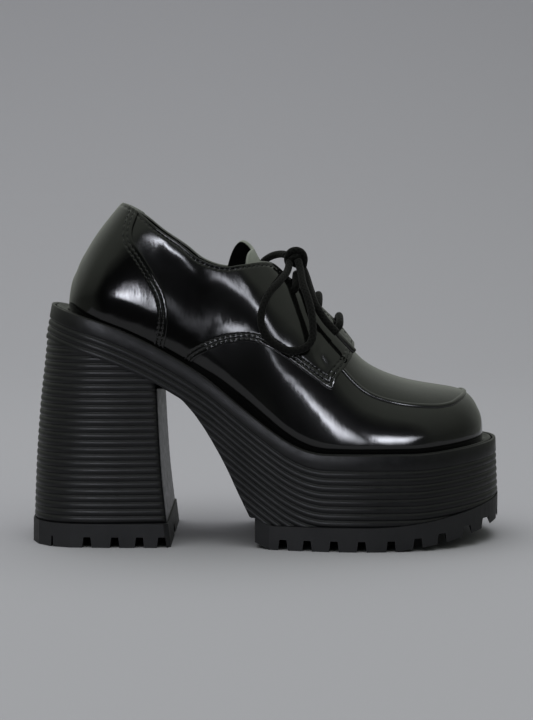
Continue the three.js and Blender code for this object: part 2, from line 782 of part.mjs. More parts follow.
function makeSoleUnit() {
  const inside = rimWell(-lipWidth).intersect(layer(deck, () => overhead));
  return platformBody().add(heelBody()).subtract(inside);
}

function makeWelt() {
  const low = (x) => deck(x) + clearance;
  const high = (x) => deck(x) + weltHeight;
  const bead = rimWell(-lipWidth - weltGroove).intersect(layer(low, high));
  return bead.subtract(lastSolid(2 * overlay + clearance));
}

// A groove between two lugs: wide at the floor, with its middle pushed towards the toe.
function lugGroove(x, low, gap) {
  const reach = ballWidth;
  const section = (z, width) => [
    new THREE.Vector3(x - width / 2, -reach, z),
    new THREE.Vector3(x + width / 2, -reach, z),
    new THREE.Vector3(x + width / 2 + lugSkew, 0, z),
    new THREE.Vector3(x + width / 2, reach, z),
    new THREE.Vector3(x - width / 2, reach, z),
    new THREE.Vector3(x - width / 2 + lugSkew, 0, z),
  ];
  const below = margin;
  const slope = (gap * lugTaper) / lugDepth;
  const rings = [
    section(low - below, gap + below * slope),
    section(low + lugDepth, gap - lugDepth * slope),
  ];
  const positions = rings.flat().flatMap((point) => [point.x, point.y, point.z]);
  const index = [];
  for (let i = 0; i < 6; i += 1) {
    const next = (i + 1) % 6;
    index.push(i, next, next + 6, i, next + 6, i + 6);
  }
  for (const [a, b, c] of [[0, 1, 2], [0, 2, 5], [5, 2, 3], [5, 3, 4]]) {
    index.push(a, c, b, a + 6, b + 6, c + 6);
  }
  const geometry = new THREE.BufferGeometry();
  geometry.setAttribute('position', new THREE.Float32BufferAttribute(positions, 3));
  geometry.setIndex(index);
  return toSolid(geometry);
}

function makeForefootTread() {
  const side = sideLedge + treadProud + sideFlare * (platformHeight - treadHeight);
  const half = (x) => roundedHalf(x, tableHalf(x) + side, rimBack, shoeLength / 2);
  const places = easedPlaces(2 * forefootTreadBack - shoeLength / 2, shoeLength / 2, 56)
    .filter((x) => x > forefootTreadBack);
  const outline = [forefootTreadBack, ...places];
  const near = outline.map((x, i) => [x, bend(x) - half(x) + (i === 0 ? treadCorner : 0)]);
  const far = outline.slice(0, -1).map((x, i) => [x, bend(x) + half(x) - (i === 0 ? treadCorner : 0)]);
  const plan = planSolid([...near, ...far.reverse()], -margin, overhead);
  const slab = sideSolid([
    ...treadPlaces.map((x) => [x, treadLift(x)]),
    ...treadPlaces.map((x) => [x, treadTop(x)]).reverse(),
  ]);
  let tread = plan.intersect(slab);
  for (const share of forefootGrooves) {
    tread = tread.subtract(lugGroove(share * shoeLength, treadLift(share * shoeLength), lugGap));
  }
  return tread.subtract(lugGroove(forefootSlit * shoeLength, treadLift(forefootSlit * shoeLength), slitGap));
}

function makeHeelTread() {
  const proud = treadProud / 2;
  let tread = ladderLoft([heelRing(0, proud, proud), heelRing(treadHeight, proud, proud)]);
  for (const share of heelGrooves) {
    tread = tread.subtract(lugGroove(share * shoeLength, 0, lugGap));
  }
  return tread.subtract(lugGroove(heelSlit * shoeLength, 0, slitGap));
}

// Lace

function cordSolid(points, diameter, steps) {
  const path = new THREE.CatmullRomCurve3(points.map((point) => new THREE.Vector3(...point)));
  const section = new THREE.Shape();
  const sides = 8;
  for (let i = 0; i < sides; i += 1) {
    const angle = (2 * Math.PI * i) / sides;
    const x = (diameter / 2) * Math.cos(angle);
    const y = (diameter / 2) * Math.sin(angle);
    if (i === 0) section.moveTo(x, y);
    else section.lineTo(x, y);
  }
  return toSolid(new THREE.ExtrudeGeometry(section, { steps, extrudePath: path, bevelEnabled: false }));
}

// The lace between a pair of eyelets, lying on the facings.
function makeBar({ at, barLift }) {
  const x = at * shoeLength;
  const measures = lastMeasures(facingReach, crownHeight);
  const lift = laceDiameter / 2 + barLift;
  const reach = throatWidth / 2 + eyeletInset;
  const points = [-1, -0.6, -0.3, 0, 0.3, 0.6, 1].map((across) => {
    const y = bend(x) + across * reach;
    const place = new THREE.Vector3(x, y, surfaceHeight(measures, x, y));
    return place.addScaledVector(outwardAt(measures, x, y), lift).toArray();
  });
  return cordSolid(points, laceDiameter, 8);
}

function makeKnot() {
  const geometry = new THREE.SphereGeometry(1, 9, 7);
  geometry.scale(knotWidth / 2, knotWidth / 2, knotHeight / 2);
  geometry.translate(...knotPlace);
  return toSolid(geometry);
}

// The tip goes on straight from the end of its lace.
function makeAglet(points) {
  const end = new THREE.Vector3(...points[points.length - 1]);
  const along = end.clone().sub(new THREE.Vector3(...points[points.length - 2])).normalize();
  const geometry = new THREE.CylinderGeometry(agletDiameter / 2, agletDiameter / 2, agletLength, 8);
  geometry.applyQuaternion(new THREE.Quaternion().setFromUnitVectors(THREE.Object3D.DEFAULT_UP, along));
  const middle = end.addScaledVector(along, clearance + agletLength / 2);
  geometry.translate(middle.x, middle.y, middle.z);
  return toSolid(geometry);
}

// Assembly

const leather = new THREE.MeshStandardMaterial({ color: 0x0d0e0c, roughness: 0.22, metalness: 0 });
const lining = new THREE.MeshStandardMaterial({ color: 0x15151a, roughness: 0.8, metalness: 0 });
const rubber = new THREE.MeshStandardMaterial({ color: 0x1c1c1e, roughness: 0.5, metalness: 0 });
const treadRubber = new THREE.MeshStandardMaterial({ color: 0x202022, roughness: 0.65, metalness: 0 });
const agletPlastic = new THREE.MeshStandardMaterial({ color: 0x1a1a1a, roughness: 0.4, metalness: 0 });
const laceCotton = new THREE.MeshStandardMaterial({ color: 0x101010, roughness: 0.9, metalness: 0 });

function piece(name, solid, material) {
  const mesh = new THREE.Mesh(toGeometry(solid), material);
  mesh.name = name;
  return mesh;
}

const shoe = new THREE.Group();
shoe.add(piece('sole_unit', makeSoleUnit(), rubber));
shoe.add(piece('forefoot_tread', makeForefootTread(), treadRubber));
shoe.add(piece('heel_tread', makeHeelTread(), treadRubber));
shoe.add(piece('welt', makeWelt(), rubber));
shoe.add(piece('insole', makeInsole(), lining));
shoe.add(piece('upper', makeUpper(), leather));
shoe.add(piece('tongue', makeTongue(), leather));
eyeletRows.forEach((row, i) => {
  shoe.add(piece(`lace_bar_${i + 1}`, makeBar(row), laceCotton));
});
shoe.add(piece('lace_knot', makeKnot(), laceCotton));
shoe.add(piece('lace_loop_outer', cordSolid(outerLoop, laceDiameter, 16), laceCotton));
shoe.add(piece('lace_loop_inner', cordSolid(innerLoop, laceDiameter, 16), laceCotton));
shoe.add(piece('lace_end_outer', cordSolid(outerEnd, laceDiameter, 7), laceCotton));
shoe.add(piece('lace_end_inner', cordSolid(innerEnd, laceDiameter, 7), laceCotton));
shoe.add(piece('aglet_outer', makeAglet(outerEnd), agletPlastic));
shoe.add(piece('aglet_inner', makeAglet(innerEnd), agletPlastic));

export default shoe;
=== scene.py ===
"""Looks of a heeled, laced oxford shoe on a ribbed platform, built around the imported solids.

Sizes are in millimetres here and become metres when a mesh is made. +X is the toe, +Z is up, and
the outer side of this right shoe faces -Y. The camera, the stage and the lights are in metres.
"""

import math

import bpy
import numpy as np
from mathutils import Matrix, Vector


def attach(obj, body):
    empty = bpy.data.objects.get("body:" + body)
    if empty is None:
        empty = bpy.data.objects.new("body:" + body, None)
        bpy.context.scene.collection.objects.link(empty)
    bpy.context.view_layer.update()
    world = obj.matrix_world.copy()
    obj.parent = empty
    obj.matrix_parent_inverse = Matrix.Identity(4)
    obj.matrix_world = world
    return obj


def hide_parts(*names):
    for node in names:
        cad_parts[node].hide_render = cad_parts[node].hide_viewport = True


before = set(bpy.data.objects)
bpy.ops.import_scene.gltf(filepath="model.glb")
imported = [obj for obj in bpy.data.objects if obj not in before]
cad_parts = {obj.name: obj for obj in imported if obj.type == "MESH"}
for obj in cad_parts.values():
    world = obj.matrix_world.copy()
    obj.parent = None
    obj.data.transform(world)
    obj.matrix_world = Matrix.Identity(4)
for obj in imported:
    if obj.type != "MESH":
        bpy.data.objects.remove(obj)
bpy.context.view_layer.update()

MM = 0.001

# Camera, fitted to the photo
CAMERA_PLACE = (0, -0.790, 0.1674)
CAMERA_PITCH = 4.9

camera_data = bpy.data.cameras.new("camera")
camera_data.lens = 70
camera_data.sensor_width = 36
camera = bpy.data.objects.new("camera", camera_data)
camera.location = CAMERA_PLACE
camera.rotation_euler = (math.radians(90 - CAMERA_PITCH), 0, 0)
bpy.context.scene.collection.objects.link(camera)
bpy.context.scene.camera = camera

# Sizes, as in the part's source, apart from the lace, which looks thicker in the photo
LENGTH = 264.0
BALL = 93.0
HEEL = 132.5
PLATFORM = 52.0
INSTEP = 92.0
WALL = 2.0
OVERLAY = 1.2
TAB_CURL = 2.4
TAB_CURL_LENGTH = 16.0
THROAT_WIDTH = 17.0
LIP_WIDTH = 1.8
LIP_HEIGHT = 1.6
WELT_GROOVE = 0.7
BAND = 8.0
RIB_PITCH = 3.8
RIB_DEPTH = 0.8
SLOPING_RIBS = 3
HEEL_FLARE = 0.19
SIDE_FLARE = 0.05
TREAD_HEIGHT = 13.0
CLEARANCE = 0.3
SIDE_LEDGE = 4.0
BACK_LEDGE = 12.0
FRONT_LEDGE = 7.4
LACE = 4.2

RIM_BACK = -0.4565 * LENGTH
RIM_FRONT = 0.494 * LENGTH
VAMP_BACK = RIM_BACK + BACK_LEDGE
VAMP_FRONT = RIM_FRONT - FRONT_LEDGE
HEEL_ROUND = -0.322 * LENGTH
TOE_ROUND = 0.28 * LENGTH
TREAD_BACK = -0.024 * LENGTH
TREAD_ROLL = 0.227 * LENGTH
THROAT_BACK = -0.06 * LENGTH
THROAT_FRONT = 0.152 * LENGTH
FACING_FRONT = 0.175 * LENGTH
EYELETS = (0.1425, 0.1025, 0.056)
EYELET_INSET = 6.5

RIM_ROWS = [
    (-0.4565, 1.0), (-0.405, 0.943), (-0.34, 0.878), (-0.27, 0.782), (-0.2, 0.66), (-0.13, 0.515),
    (-0.06, 0.33), (0.0, 0.175), (0.05, 0.066), (0.085, 0.018), (0.12, 0.0), (0.3, 0.0),
    (0.4, 0.025), (0.494, 0.056),
]
# at, half width, sideways bend
PLAN_ROWS = [
    (-0.322, 0.344, 0.016), (-0.21, 0.326, 0.01), (-0.13, 0.318, 0.0), (-0.057, 0.334, -0.008),
    (0.038, 0.388, -0.009), (0.133, 0.436, -0.005), (0.208, 0.452, 0.0), (0.284, 0.446, 0.009),
    (0.36, 0.436, 0.024), (0.466, 0.42, 0.05),
]
CROWN_ROWS = [
    (-0.411, 0.058), (-0.4085, 0.117), (-0.4045, 0.178), (-0.395, 0.247), (-0.386, 0.315),
    (-0.3735, 0.387), (-0.3605, 0.46), (-0.346, 0.534), (-0.3295, 0.609), (-0.313, 0.686),
    (-0.301, 0.74), (-0.265, 0.86), (-0.19, 1.04), (-0.114, 1.09), (-0.038, 1.08), (0.0, 1.045),
    (0.019, 1.012), (0.038, 0.985), (0.061, 0.968), (0.1, 0.898), (0.125, 0.826), (0.151, 0.732),
    (0.174, 0.628), (0.2, 0.536), (0.234, 0.471), (0.283, 0.415), (0.332, 0.378), (0.381, 0.342),
    (0.411, 0.318), (0.431, 0.285), (0.445, 0.24), (0.4545, 0.19), (0.462, 0.14), (0.466, 0.09),
]
# at, belly height, top power, side power, tuck
SECTION_ROWS = [
    (-0.41, 0.3, 1.6, 1.6, 0.06), (-0.34, 0.28, 1.8, 1.8, 0.08), (-0.25, 0.22, 2.2, 2.0, 0.1),
    (-0.1, 0.16, 2.2, 2.0, 0.1), (0.03, 0.1, 2.0, 2.0, 0.08), (0.15, 0.07, 1.9, 2.0, 0.07),
    (0.22, 0.1, 2.0, 2.0, 0.07), (0.33, 0.13, 2.2, 2.2, 0.07), (0.42, 0.18, 2.2, 2.2, 0.06),
    (0.47, 0.24, 2.0, 2.0, 0.05),
]
COLLAR_ROWS = [
    (-0.304, 0.735), (-0.296, 0.741), (-0.264, 0.73), (-0.225, 0.697), (-0.177, 0.682),
    (-0.142, 0.667), (-0.106, 0.702), (-0.08, 0.753), (-0.059, 0.81), (-0.012, 0.935),
    (0.009, 0.972), (0.024, 0.973), (0.034, 0.965),
]
QUARTER_ROWS = [
    (-0.166, -0.05), (-0.155, 0.038), (-0.1356, 0.12), (-0.0886, 0.285), (-0.035, 0.427),
    (0.005, 0.484), (0.033, 0.493), (0.063, 0.479), (0.098, 0.439), (0.1326, 0.374),
]
TAB_ROWS = [
    (0.144, 0.451), (0.16, 0.509), (0.17, 0.554), (0.175, 0.62), (0.174, 0.69), (0.172, 0.9),
]
COUNTER_ROWS = [
    (-0.219, -0.05), (-0.208, 0.116), (-0.205, 0.222), (-0.208, 0.299), (-0.215, 0.355),
    (-0.229, 0.407), (-0.243, 0.453), (-0.262, 0.509), (-0.2765, 0.554), (-0.278, 0.61),
    (-0.264, 0.75),
]
APRON_ROWS = [
    (0.14, 0.72), (0.18, 0.74), (0.23, 0.77), (0.3, 0.79), (0.35, 0.785), (0.385, 0.74),
    (0.405, 0.62), (0.42, 0.4), (0.426, 0.0),
]
ARCH_ROWS = [
    (-0.212, 0.385), (-0.18, 0.388), (-0.157, 0.433), (-0.132, 0.52), (-0.108, 0.627),
    (-0.083, 0.758), (-0.059, 0.92), (-0.034, 1.08),
]
# up, back, breast, half width, power
HEEL_ROWS = [
    (0.0, -0.4965, -0.201, 0.418, 3.2), (0.1, -0.496, -0.207, 0.414, 3.1),
    (0.32, -0.492, -0.218, 0.403, 2.9), (0.58, -0.4825, -0.225, 0.394, 2.7),
    (0.75, -0.473, -0.228, 0.389, 2.5), (0.93, -0.463, -0.228, 0.387, 2.4),
]
TONGUE_ROWS = [(-0.085, 1.09), (-0.027, 1.034), (0.001, 0.974), (0.022, 0.971), (0.045, 0.979)]
TONGUE_END_ROWS = [(-1.0, -0.045), (-0.6, -0.038), (-0.1, -0.0265), (0.35, -0.052), (1.0, -0.094)]

# Points of the cords, from the knot on
CORDS = {
    "loop_outer": [
        (12.9, -6.3, 155.2), (11.5, -13, 150.2), (6.9, -23, 144.6), (1.4, -30.5, 138.7),
        (-1.9, -35, 131.4), (-3, -37, 123.9), (-1.3, -37.6, 118), (3.5, -38, 112.1),
        (11.1, -38.4, 108.3), (17, -38.4, 108.3), (21.9, -37.8, 110.4), (24.6, -36.4, 114.1),
        (25.1, -34.6, 119.4), (24.4, -31, 128.4), (22.6, -26.5, 135.9), (20.1, -20, 143.3),
        (19, -13, 150), (17.7, -7.6, 155.9),
    ],
    "loop_inner": [
        (12, 3.6, 158.9), (7.7, 10.5, 159.4), (2.6, 17.5, 158), (-2, 24, 154.6), (-5, 30, 149),
        (-6.4, 34, 141.5), (-5.6, 36.6, 134), (-1.6, 38.2, 127), (4.4, 38.8, 122.6),
        (11, 38.8, 121.6), (16.8, 38.2, 124.4), (20.4, 36, 130), (21.4, 32, 137),
        (20.6, 25, 144.5), (19, 15.5, 151.5), (17.6, 5.6, 156.6),
    ],
    "end_outer": [
        (19.9, -3.2, 152.4), (21.7, -7, 147.4), (23.6, -13, 141), (25.7, -18.8, 135),
        (28.2, -23.4, 129.8), (32.5, -26, 123.3), (38.5, -28.2, 116.8),
    ],
    "end_inner": [
        (20.0, 1.9, 153.1), (22.6, 8, 147), (24.9, 14.4, 140.2), (27.6, 19.6, 133.2),
        (30.2, 23, 127.6), (33.8, 26.4, 121), (38.2, 29.4, 114.2),
    ],
}
# Points of the knot's strands, from its middle
KNOT = (16.7, -1.0, 157.3)
KNOT_STRANDS = [
    [(-3.4, -2.4, -4.6), (-4.9, -4.0, -0.6), (-3.6, -4.8, 3.0), (-0.4, -5.0, 4.3), (2.8, -4.8, 3.2),
     (4.3, -4.2, 0.0), (4.0, -3.4, -3.2), (3.6, -2.2, -5.4)],
    [(-3.9, -4.8, -2.4), (-1.7, -5.6, 0.0), (0.9, -5.0, 0.9), (1.7, -1.0, 2.2), (0.4, 3.0, 2.0),
     (-3.6, 4.4, 1.4)],
    [(3.6, -3.4, -4.0), (0.6, -1.2, -3.6), (-1.8, 1.2, -2.4), (0.6, 4.2, -0.6), (2.4, 4.6, -1.6),
     (3.2, 3.0, -4.4)],
    [(-2.2, 4.4, -3.0), (-3.4, 4.6, 0.6), (-1.6, 3.6, 3.6), (1.6, 3.2, 3.6), (3.0, 4.4, 0.6),
     (2.2, 5.0, -2.0)],
]
# Half of a lace bar: share of the way out to the eyelet, height over the facing
BAR_ROWS = [(-1.0, -3.2), (-1.0, -0.6), (-0.93, 1.3), (-0.75, 1.9), (-0.4, 1.95)]
# Run from the cord's end and radius
AGLET_ROWS = [
    (0.15, 1.2), (0.2, 1.48), (0.6, 1.52), (1.0, 1.45), (1.2, 1.52), (13.2, 1.5), (13.8, 1.4), (14.1, 1.05),
]

# Stitches: how far each row lies from its edge
STITCH_PITCH = 2.7
COLLAR_INSET = 1.5
QUARTER_INSETS = (1.7, 3.9)
COUNTER_INSETS = (1.8, 4.0)
FACING_INSET = 1.9


# Curves and tables

def unit(v):
    return v / np.linalg.norm(v, axis=-1, keepdims=True).clip(1e-9)


def run_along(points):
    return np.concatenate([[0], np.cumsum(np.linalg.norm(np.diff(points, axis=0), axis=1))])


def curve_through(places, values):
    """A curve through table rows, smooth and without overshoot, level beyond its ends."""
    p = np.array(places, float)
    v = np.array(values, float)
    h = np.diff(p)
    s = np.diff(v) / h
    m = np.zeros_like(v)
    m[0], m[-1] = s[0], s[-1]
    for i in range(1, len(v) - 1):
        if s[i - 1] * s[i] > 0:
            before = 2 * h[i] + h[i - 1]
            after = h[i] + 2 * h[i - 1]
            m[i] = (before + after) / (before / s[i - 1] + after / s[i])

    def at(x):
        x = np.clip(np.asarray(x, float), p[0], p[-1])
        i = np.clip(np.searchsorted(p, x, side="right") - 1, 0, len(h) - 1)
        t = (x - p[i]) / h[i]
        bend = (1 - t) * m[i] * h[i] - t * m[i + 1] * h[i]
        chord = v[i + 1] - v[i]
        return v[i] + chord * t + t * (1 - t) * (bend + (2 * t - 1) * chord)

    return at


def column(rows, i, scale=1.0, length=LENGTH):
    return curve_through([r[0] * length for r in rows], [r[i] * scale for r in rows])


def smoothstep(x, low, high):
    t = np.clip((np.asarray(x, float) - low) / (high - low), 0, 1)
    return t * t * (3 - 2 * t)


def softened(curve, start, end, spread, keep):
    """The curve with its small kinks averaged away, but left as it is near both ends."""
    step = 0.25
    x = np.arange(start, end + step, step)
    y = curve(x)
    reach = int(4 * spread / step)
    kernel = np.exp(-0.5 * (np.arange(-reach, reach + 1) * step / spread) ** 2)
    kernel /= kernel.sum()
    padded = np.concatenate([2 * y[0] - y[reach:0:-1], y, 2 * y[-1] - y[-2 : -reach - 2 : -1]])
    w = smoothstep(np.minimum(x - start, end - x), keep, 2 * keep)
    mixed = y * (1 - w) + np.convolve(padded, kernel, "valid") * w
    return lambda q: np.interp(q, x, mixed)


rise = softened(column(RIM_ROWS, 1, HEEL - PLATFORM), RIM_BACK, RIM_FRONT, 3.0, 4.0)
bend = softened(column(PLAN_ROWS, 2, BALL), RIM_BACK, RIM_FRONT, 4.0, 2.0)
table_half = softened(column(PLAN_ROWS, 1, BALL), RIM_BACK - 10, RIM_FRONT + 10, 4.0, 2.0)
crown_share = softened(column(CROWN_ROWS, 1, INSTEP), VAMP_BACK, VAMP_FRONT, 2.5, 9.0)
belly, top_power, side_power, tuck = (
    softened(column(SECTION_ROWS, i), VAMP_BACK, VAMP_FRONT, 5.0, 2.0) for i in (1, 2, 3, 4))
THROAT_MIDDLE = float(bend(0.1 * LENGTH))


def rim(x):
    return PLATFORM + rise(x)


def rounded_half(x, half, back, front):
    """Half width in plan, rounded off at the heel and the toe."""
    x = np.asarray(x, float)
    heel = np.clip((HEEL_ROUND - x) / (HEEL_ROUND - back), 0, 1)
    toe = np.clip((x - TOE_ROUND) / (front - TOE_ROUND), 0, 1)
    return half * (1 - heel**2.3) ** (1 / 2.3) * (1 - toe**2.15) ** (1 / 2.15)


def even_places(width_at, start, end, spacing):
    """Places along X whose points on a plan outline lie about a spacing apart."""
    t = np.linspace(0, np.pi, 4001)
    x = start + (end - start) * (1 - np.cos(t)) / 2
    run = run_along(np.stack([x, width_at(x)], 1))
    return np.interp(np.linspace(0, run[-1], int(run[-1] / spacing) + 1), run, x)


# The surface of the last

HOLLOW = 1.5
HOLLOW_PLACE = -20
HOLLOW_SPREAD = 16
AROUND = 120
LAST_SPACING = 0.82


def last_half(x):
    hollow = HOLLOW * np.exp(-(((np.asarray(x, float) - HOLLOW_PLACE) / HOLLOW_SPREAD) ** 2) / 2)
    return rounded_half(x, table_half(x) - hollow, VAMP_BACK, VAMP_FRONT)


def crown_height(x):
    return rim(x) + crown_share(x)


crown_run_x = np.arange(-12, 60, 0.25)
crown_run = np.cumsum(np.hypot(0.25, np.gradient(crown_height(crown_run_x), 0.25) * 0.25))


def section_grid(xs):
    """Points of the last's sections: one row for each place, from the outer foot over the crown."""
    half = np.maximum(last_half(xs), 0.35)[:, None]
    foot = rim(xs)[:, None]
    top = np.maximum(crown_height(xs)[:, None], foot + 1)
    low = foot + belly(xs)[:, None] * (top - foot)
    start = foot - LIP_HEIGHT - 0.6
    t = np.linspace(0, 1, 40)[None, :-1]
    phi = np.linspace(0, np.pi / 2, 140)[None, :]
    lower_y = half * (1 - tuck(xs)[:, None] * (1 - t) ** 1.7)
    upper_y = half * np.cos(phi).clip(0) ** (2 / side_power(xs)[:, None])
    upper_z = low + (top - low) * np.sin(phi) ** (2 / top_power(xs)[:, None])
    sections = np.stack([
        np.concatenate([lower_y, upper_y], 1),
        np.concatenate([start + (low - start) * t, upper_z], 1),
    ], 2)
    rows = []
    for x, section in zip(xs, sections):
        run = run_along(section)
        at = np.linspace(0, run[-1], AROUND + 1)
        y, z = (np.interp(at, run, section[:, k]) for k in (0, 1))
        y[-1] = 0
        side = np.concatenate([-y, y[-2::-1]])
        rows.append(np.stack([np.full(len(side), x), bend(x) + side, np.concatenate([z, z[-2::-1]])], 1))
    return np.array(rows)


def grid_normals(grid):
    """Normals of a grid's points, on the side from which grid_faces turn anticlockwise."""
    return unit(np.cross(np.gradient(grid, axis=1), np.gradient(grid, axis=0)))


last_xs = even_places(last_half, VAMP_BACK, VAMP_FRONT, LAST_SPACING)
LAST = section_grid(last_xs)
LAST_N = -grid_normals(LAST)


def last_row(x):
    """The last's section at a place along it: its points and their normals."""
    i = int(np.clip(np.searchsorted(last_xs, x) - 1, 0, len(last_xs) - 2))
    t = (x - last_xs[i]) / (last_xs[i + 1] - last_xs[i])
    return [grid[i] * (1 - t) + grid[i + 1] * t for grid in (LAST, LAST_N)]


def between(row, normals, j):
    """The point and the normal at a broken step along a section."""
    k = min(int(j), len(row) - 2)
    f = j - k
    return row[k] * (1 - f) + row[k + 1] * f, unit(normals[k] * (1 - f) + normals[k + 1] * f)


def on_side(x, z, side):
    """The point of the last's surface at a place in side view, and its normal."""
    row, normals = last_row(x)
    if side > 0:
        row, normals = row[::-1], normals[::-1]
    half = AROUND + 1
    return between(row, normals, float(np.interp(z, row[:half, 2], np.arange(half))))


def on_top(x, y):
    """The point of the last's surface at a place in plan, above its widest line."""
    row, normals = last_row(x)
    first, last = int(np.argmin(row[:, 1])), int(np.argmax(row[:, 1])) + 1
    return between(row, normals, float(np.interp(y, row[first:last, 1], np.arange(first, last))))


# Edges of the panels

BEHIND = VAMP_BACK - 12.0
AHEAD = VAMP_FRONT + 120.0
ABOVE = HEEL + 2 * INSTEP
BELOW = -50.0


def resampled(points, spacing):
    points = np.array(points, float)
    run = run_along(points)
    at = np.linspace(0, run[-1], max(int(round(run[-1] / spacing)), 2) + 1)
    return np.stack([np.interp(at, run, points[:, k]) for k in range(points.shape[1])], 1)


def mixed(t, low, high, a, b):
    return ((high - t) * a + (t - low) * b) / (high - low)


def flowing(points, spacing=0.8):
    """A smooth line through points, by centripetal Catmull-Rom."""
    p = [np.array(q, float) for q in points]
    p = [2 * p[0] - p[1]] + p + [2 * p[-1] - p[-2]]
    out = []
    for four in zip(p, p[1:], p[2:], p[3:]):
        k = [0.0]
        for a, b in zip(four, four[1:]):
            k.append(k[-1] + max(np.linalg.norm(b - a) ** 0.5, 1e-6))
        for t in np.linspace(k[1], k[2], 12, endpoint=False):
            near = [mixed(t, k[i], k[i + 1], four[i], four[i + 1]) for i in range(3)]
            far = [mixed(t, k[i], k[i + 2], near[i], near[i + 1]) for i in range(2)]
            out.append(mixed(t, k[1], k[2], *far))
    out.append(p[-2])
    return resampled(out, spacing)


def side_points(rows):
    return [(r[0] * LENGTH, float(rim(r[0] * LENGTH)) + r[1] * INSTEP) for r in rows]


quarter_line = flowing(side_points(QUARTER_ROWS))
tab_line = flowing([quarter_line[-1], *side_points(TAB_ROWS)])
quarter_edge = np.concatenate([quarter_line[:-1], tab_line[1:]])
counter_edge = flowing(side_points(COUNTER_ROWS))
# The edge goes on past the collar's line, back and down, and up over the throat
collar_line = flowing(side_points(COLLAR_ROWS))
collar_line = np.concatenate([collar_line, [collar_line[-1] + (3, 0.5)]])
collar_edge = np.concatenate([
    [collar_line[0] + (-30, -4)], collar_line, [(collar_line[-1][0] + 0.4, ABOVE)]])


def nearest(line, fields):
    """Distance from points in side view to a line, and the run along the line to the nearest place."""
    a, b = fields[:, PX], fields[:, PZ]
    distance = np.full(len(a), np.inf)
    along = np.zeros(len(a))
    run = 0.0
    for (x0, z0), (x1, z1) in zip(line[:-1], line[1:]):
        length = max(math.hypot(x1 - x0, z1 - z0), 1e-6)
        ux, uz = (x1 - x0) / length, (z1 - z0) / length
        t = np.clip((a - x0) * ux + (b - z0) * uz, 0, length)
        gap = np.hypot(a - x0 - t * ux, b - z0 - t * uz)
        nearer = gap < distance
        distance[nearer] = gap[nearer]
        along[nearer] = run + t[nearer]
        run += length
    return distance, along


def edge_field(edge, closing):
    """Signed distance to an edge, positive inside its closed outline, and the run along the edge."""
    distance, along = nearest(edge, flat)
    a, b = flat[:, PX], flat[:, PZ]
    inside = np.zeros(len(a), bool)
    outline = [*edge, *closing, edge[0]]
    for (x0, z0), (x1, z1) in zip(outline, outline[1:]):
        if z0 != z1:
            crosses = (z0 > b) != (z1 > b)
            inside ^= crosses & (a < x0 + (b - z0) * (x1 - x0) / (z1 - z0))
    return np.where(inside, distance, -distance), along


def behind(edge):
    """Corners that close an outline behind an edge."""
    return [(edge[-1][0], ABOVE), (BEHIND, ABOVE), (BEHIND, BELOW), (edge[0][0], BELOW)]


# Columns of a skin: place, normal, distance to the quarter's edge and run along it, the same for the
# counter and the collar, and distance to the throat's sides
PX, PY, PZ = range(3)
DQ, DC, DL, DT = range(6, 13, 2)
flat = LAST.reshape(-1, 3)
FIELDS = np.column_stack([
    flat, LAST_N.reshape(-1, 3),
    *edge_field(quarter_edge, behind(quarter_edge)),
    *edge_field(counter_edge, behind(counter_edge)),
    *edge_field(collar_edge, [(AHEAD, ABOVE), (AHEAD, BELOW), (collar_edge[0][0], BELOW)]),
    np.abs(flat[:, PY] - THROAT_MIDDLE) - THROAT_WIDTH / 2,
])


# Meshes: faces are a pair of an array of quads and a list of polygons

def grid_faces(rows, cols, closed=False):
    i = np.arange(rows - 1)[:, None]
    j = np.arange(cols if closed else cols - 1)[None, :]
    k = (j + 1) % cols
    return np.stack([i * cols + j, i * cols + k, (i + 1) * cols + k, (i + 1) * cols + j], -1).reshape(-1, 4)


def face_list(faces, turned=False):
    quads, polys = faces
    step = -1 if turned else 1
    return [face[::step] for face in quads.tolist() + polys]


def clip(fields, faces, values):
    """Keeps what has values >= 0, and cuts the faces that cross zero."""
    values = np.where(np.abs(values) < 0.03, 0.0, values)
    quads, polys = faces
    v = values[quads]
    inside = (v >= 0).all(1)
    cut = quads[~inside & (v > 0).any(1)].tolist()
    out = []
    for poly in polys:
        v = values[poly]
        if min(v) >= 0:
            out.append(poly)
        elif max(v) > 0:
            cut.append(poly)
    added, known = [], {}
    for poly in cut:
        new = []
        for a, b in zip(poly, poly[1:] + poly[:1]):
            if values[a] >= 0:
                new.append(a)
            if values[a] * values[b] < 0:
                lo, hi = sorted((a, b))
                if (lo, hi) not in known:
                    t = values[lo] / (values[lo] - values[hi])
                    known[lo, hi] = len(fields) + len(added)
                    added.append(fields[lo] * (1 - t) + fields[hi] * t)
                new.append(known[lo, hi])
        if len(new) > 2:
            out.append(new)
    if added:
        fields = np.concatenate([fields, np.array(added)])
    return fields, (quads[inside], out)


def used_only(fields, faces):
    quads, polys = faces
    index = np.unique(np.concatenate([quads.ravel(), *polys]).astype(int))
    new = np.full(len(fields), -1)
    new[index] = np.arange(len(index))
    return fields[index], (new[quads], [new[poly].tolist() for poly in polys])


def boundary_loops(faces):
    edges = dict.fromkeys(edge for face in face_list(faces) for edge in zip(face, face[1:] + face[:1]))
    following = {a: b for a, b in edges if (b, a) not in edges}
    loops = []
    while following:
        start, b = next(iter(following.items()))
        loop = [start]
        del following[start]
        while b != start and b in following:
            loop.append(b)
            b = following.pop(b)
        if len(loop) > 8:
            loops.append(loop)
    return loops


def make_mesh(name, vertices, faces, material, attributes=None):
    mesh = bpy.data.meshes.new(name)
    mesh.from_pydata((np.reshape(vertices, (-1, 3)) * MM).tolist(), [], faces)
    mesh.validate(clean_customdata=False)
    mesh.shade_smooth()
    for key, values in (attributes or {}).items():
        mesh.attributes.new(key, "FLOAT", "POINT").data.foreach_set("value", np.asarray(values, np.float32))
    mesh.materials.append(material)
    obj = bpy.data.objects.new(name, mesh)
    bpy.context.scene.collection.objects.link(obj)
    return obj


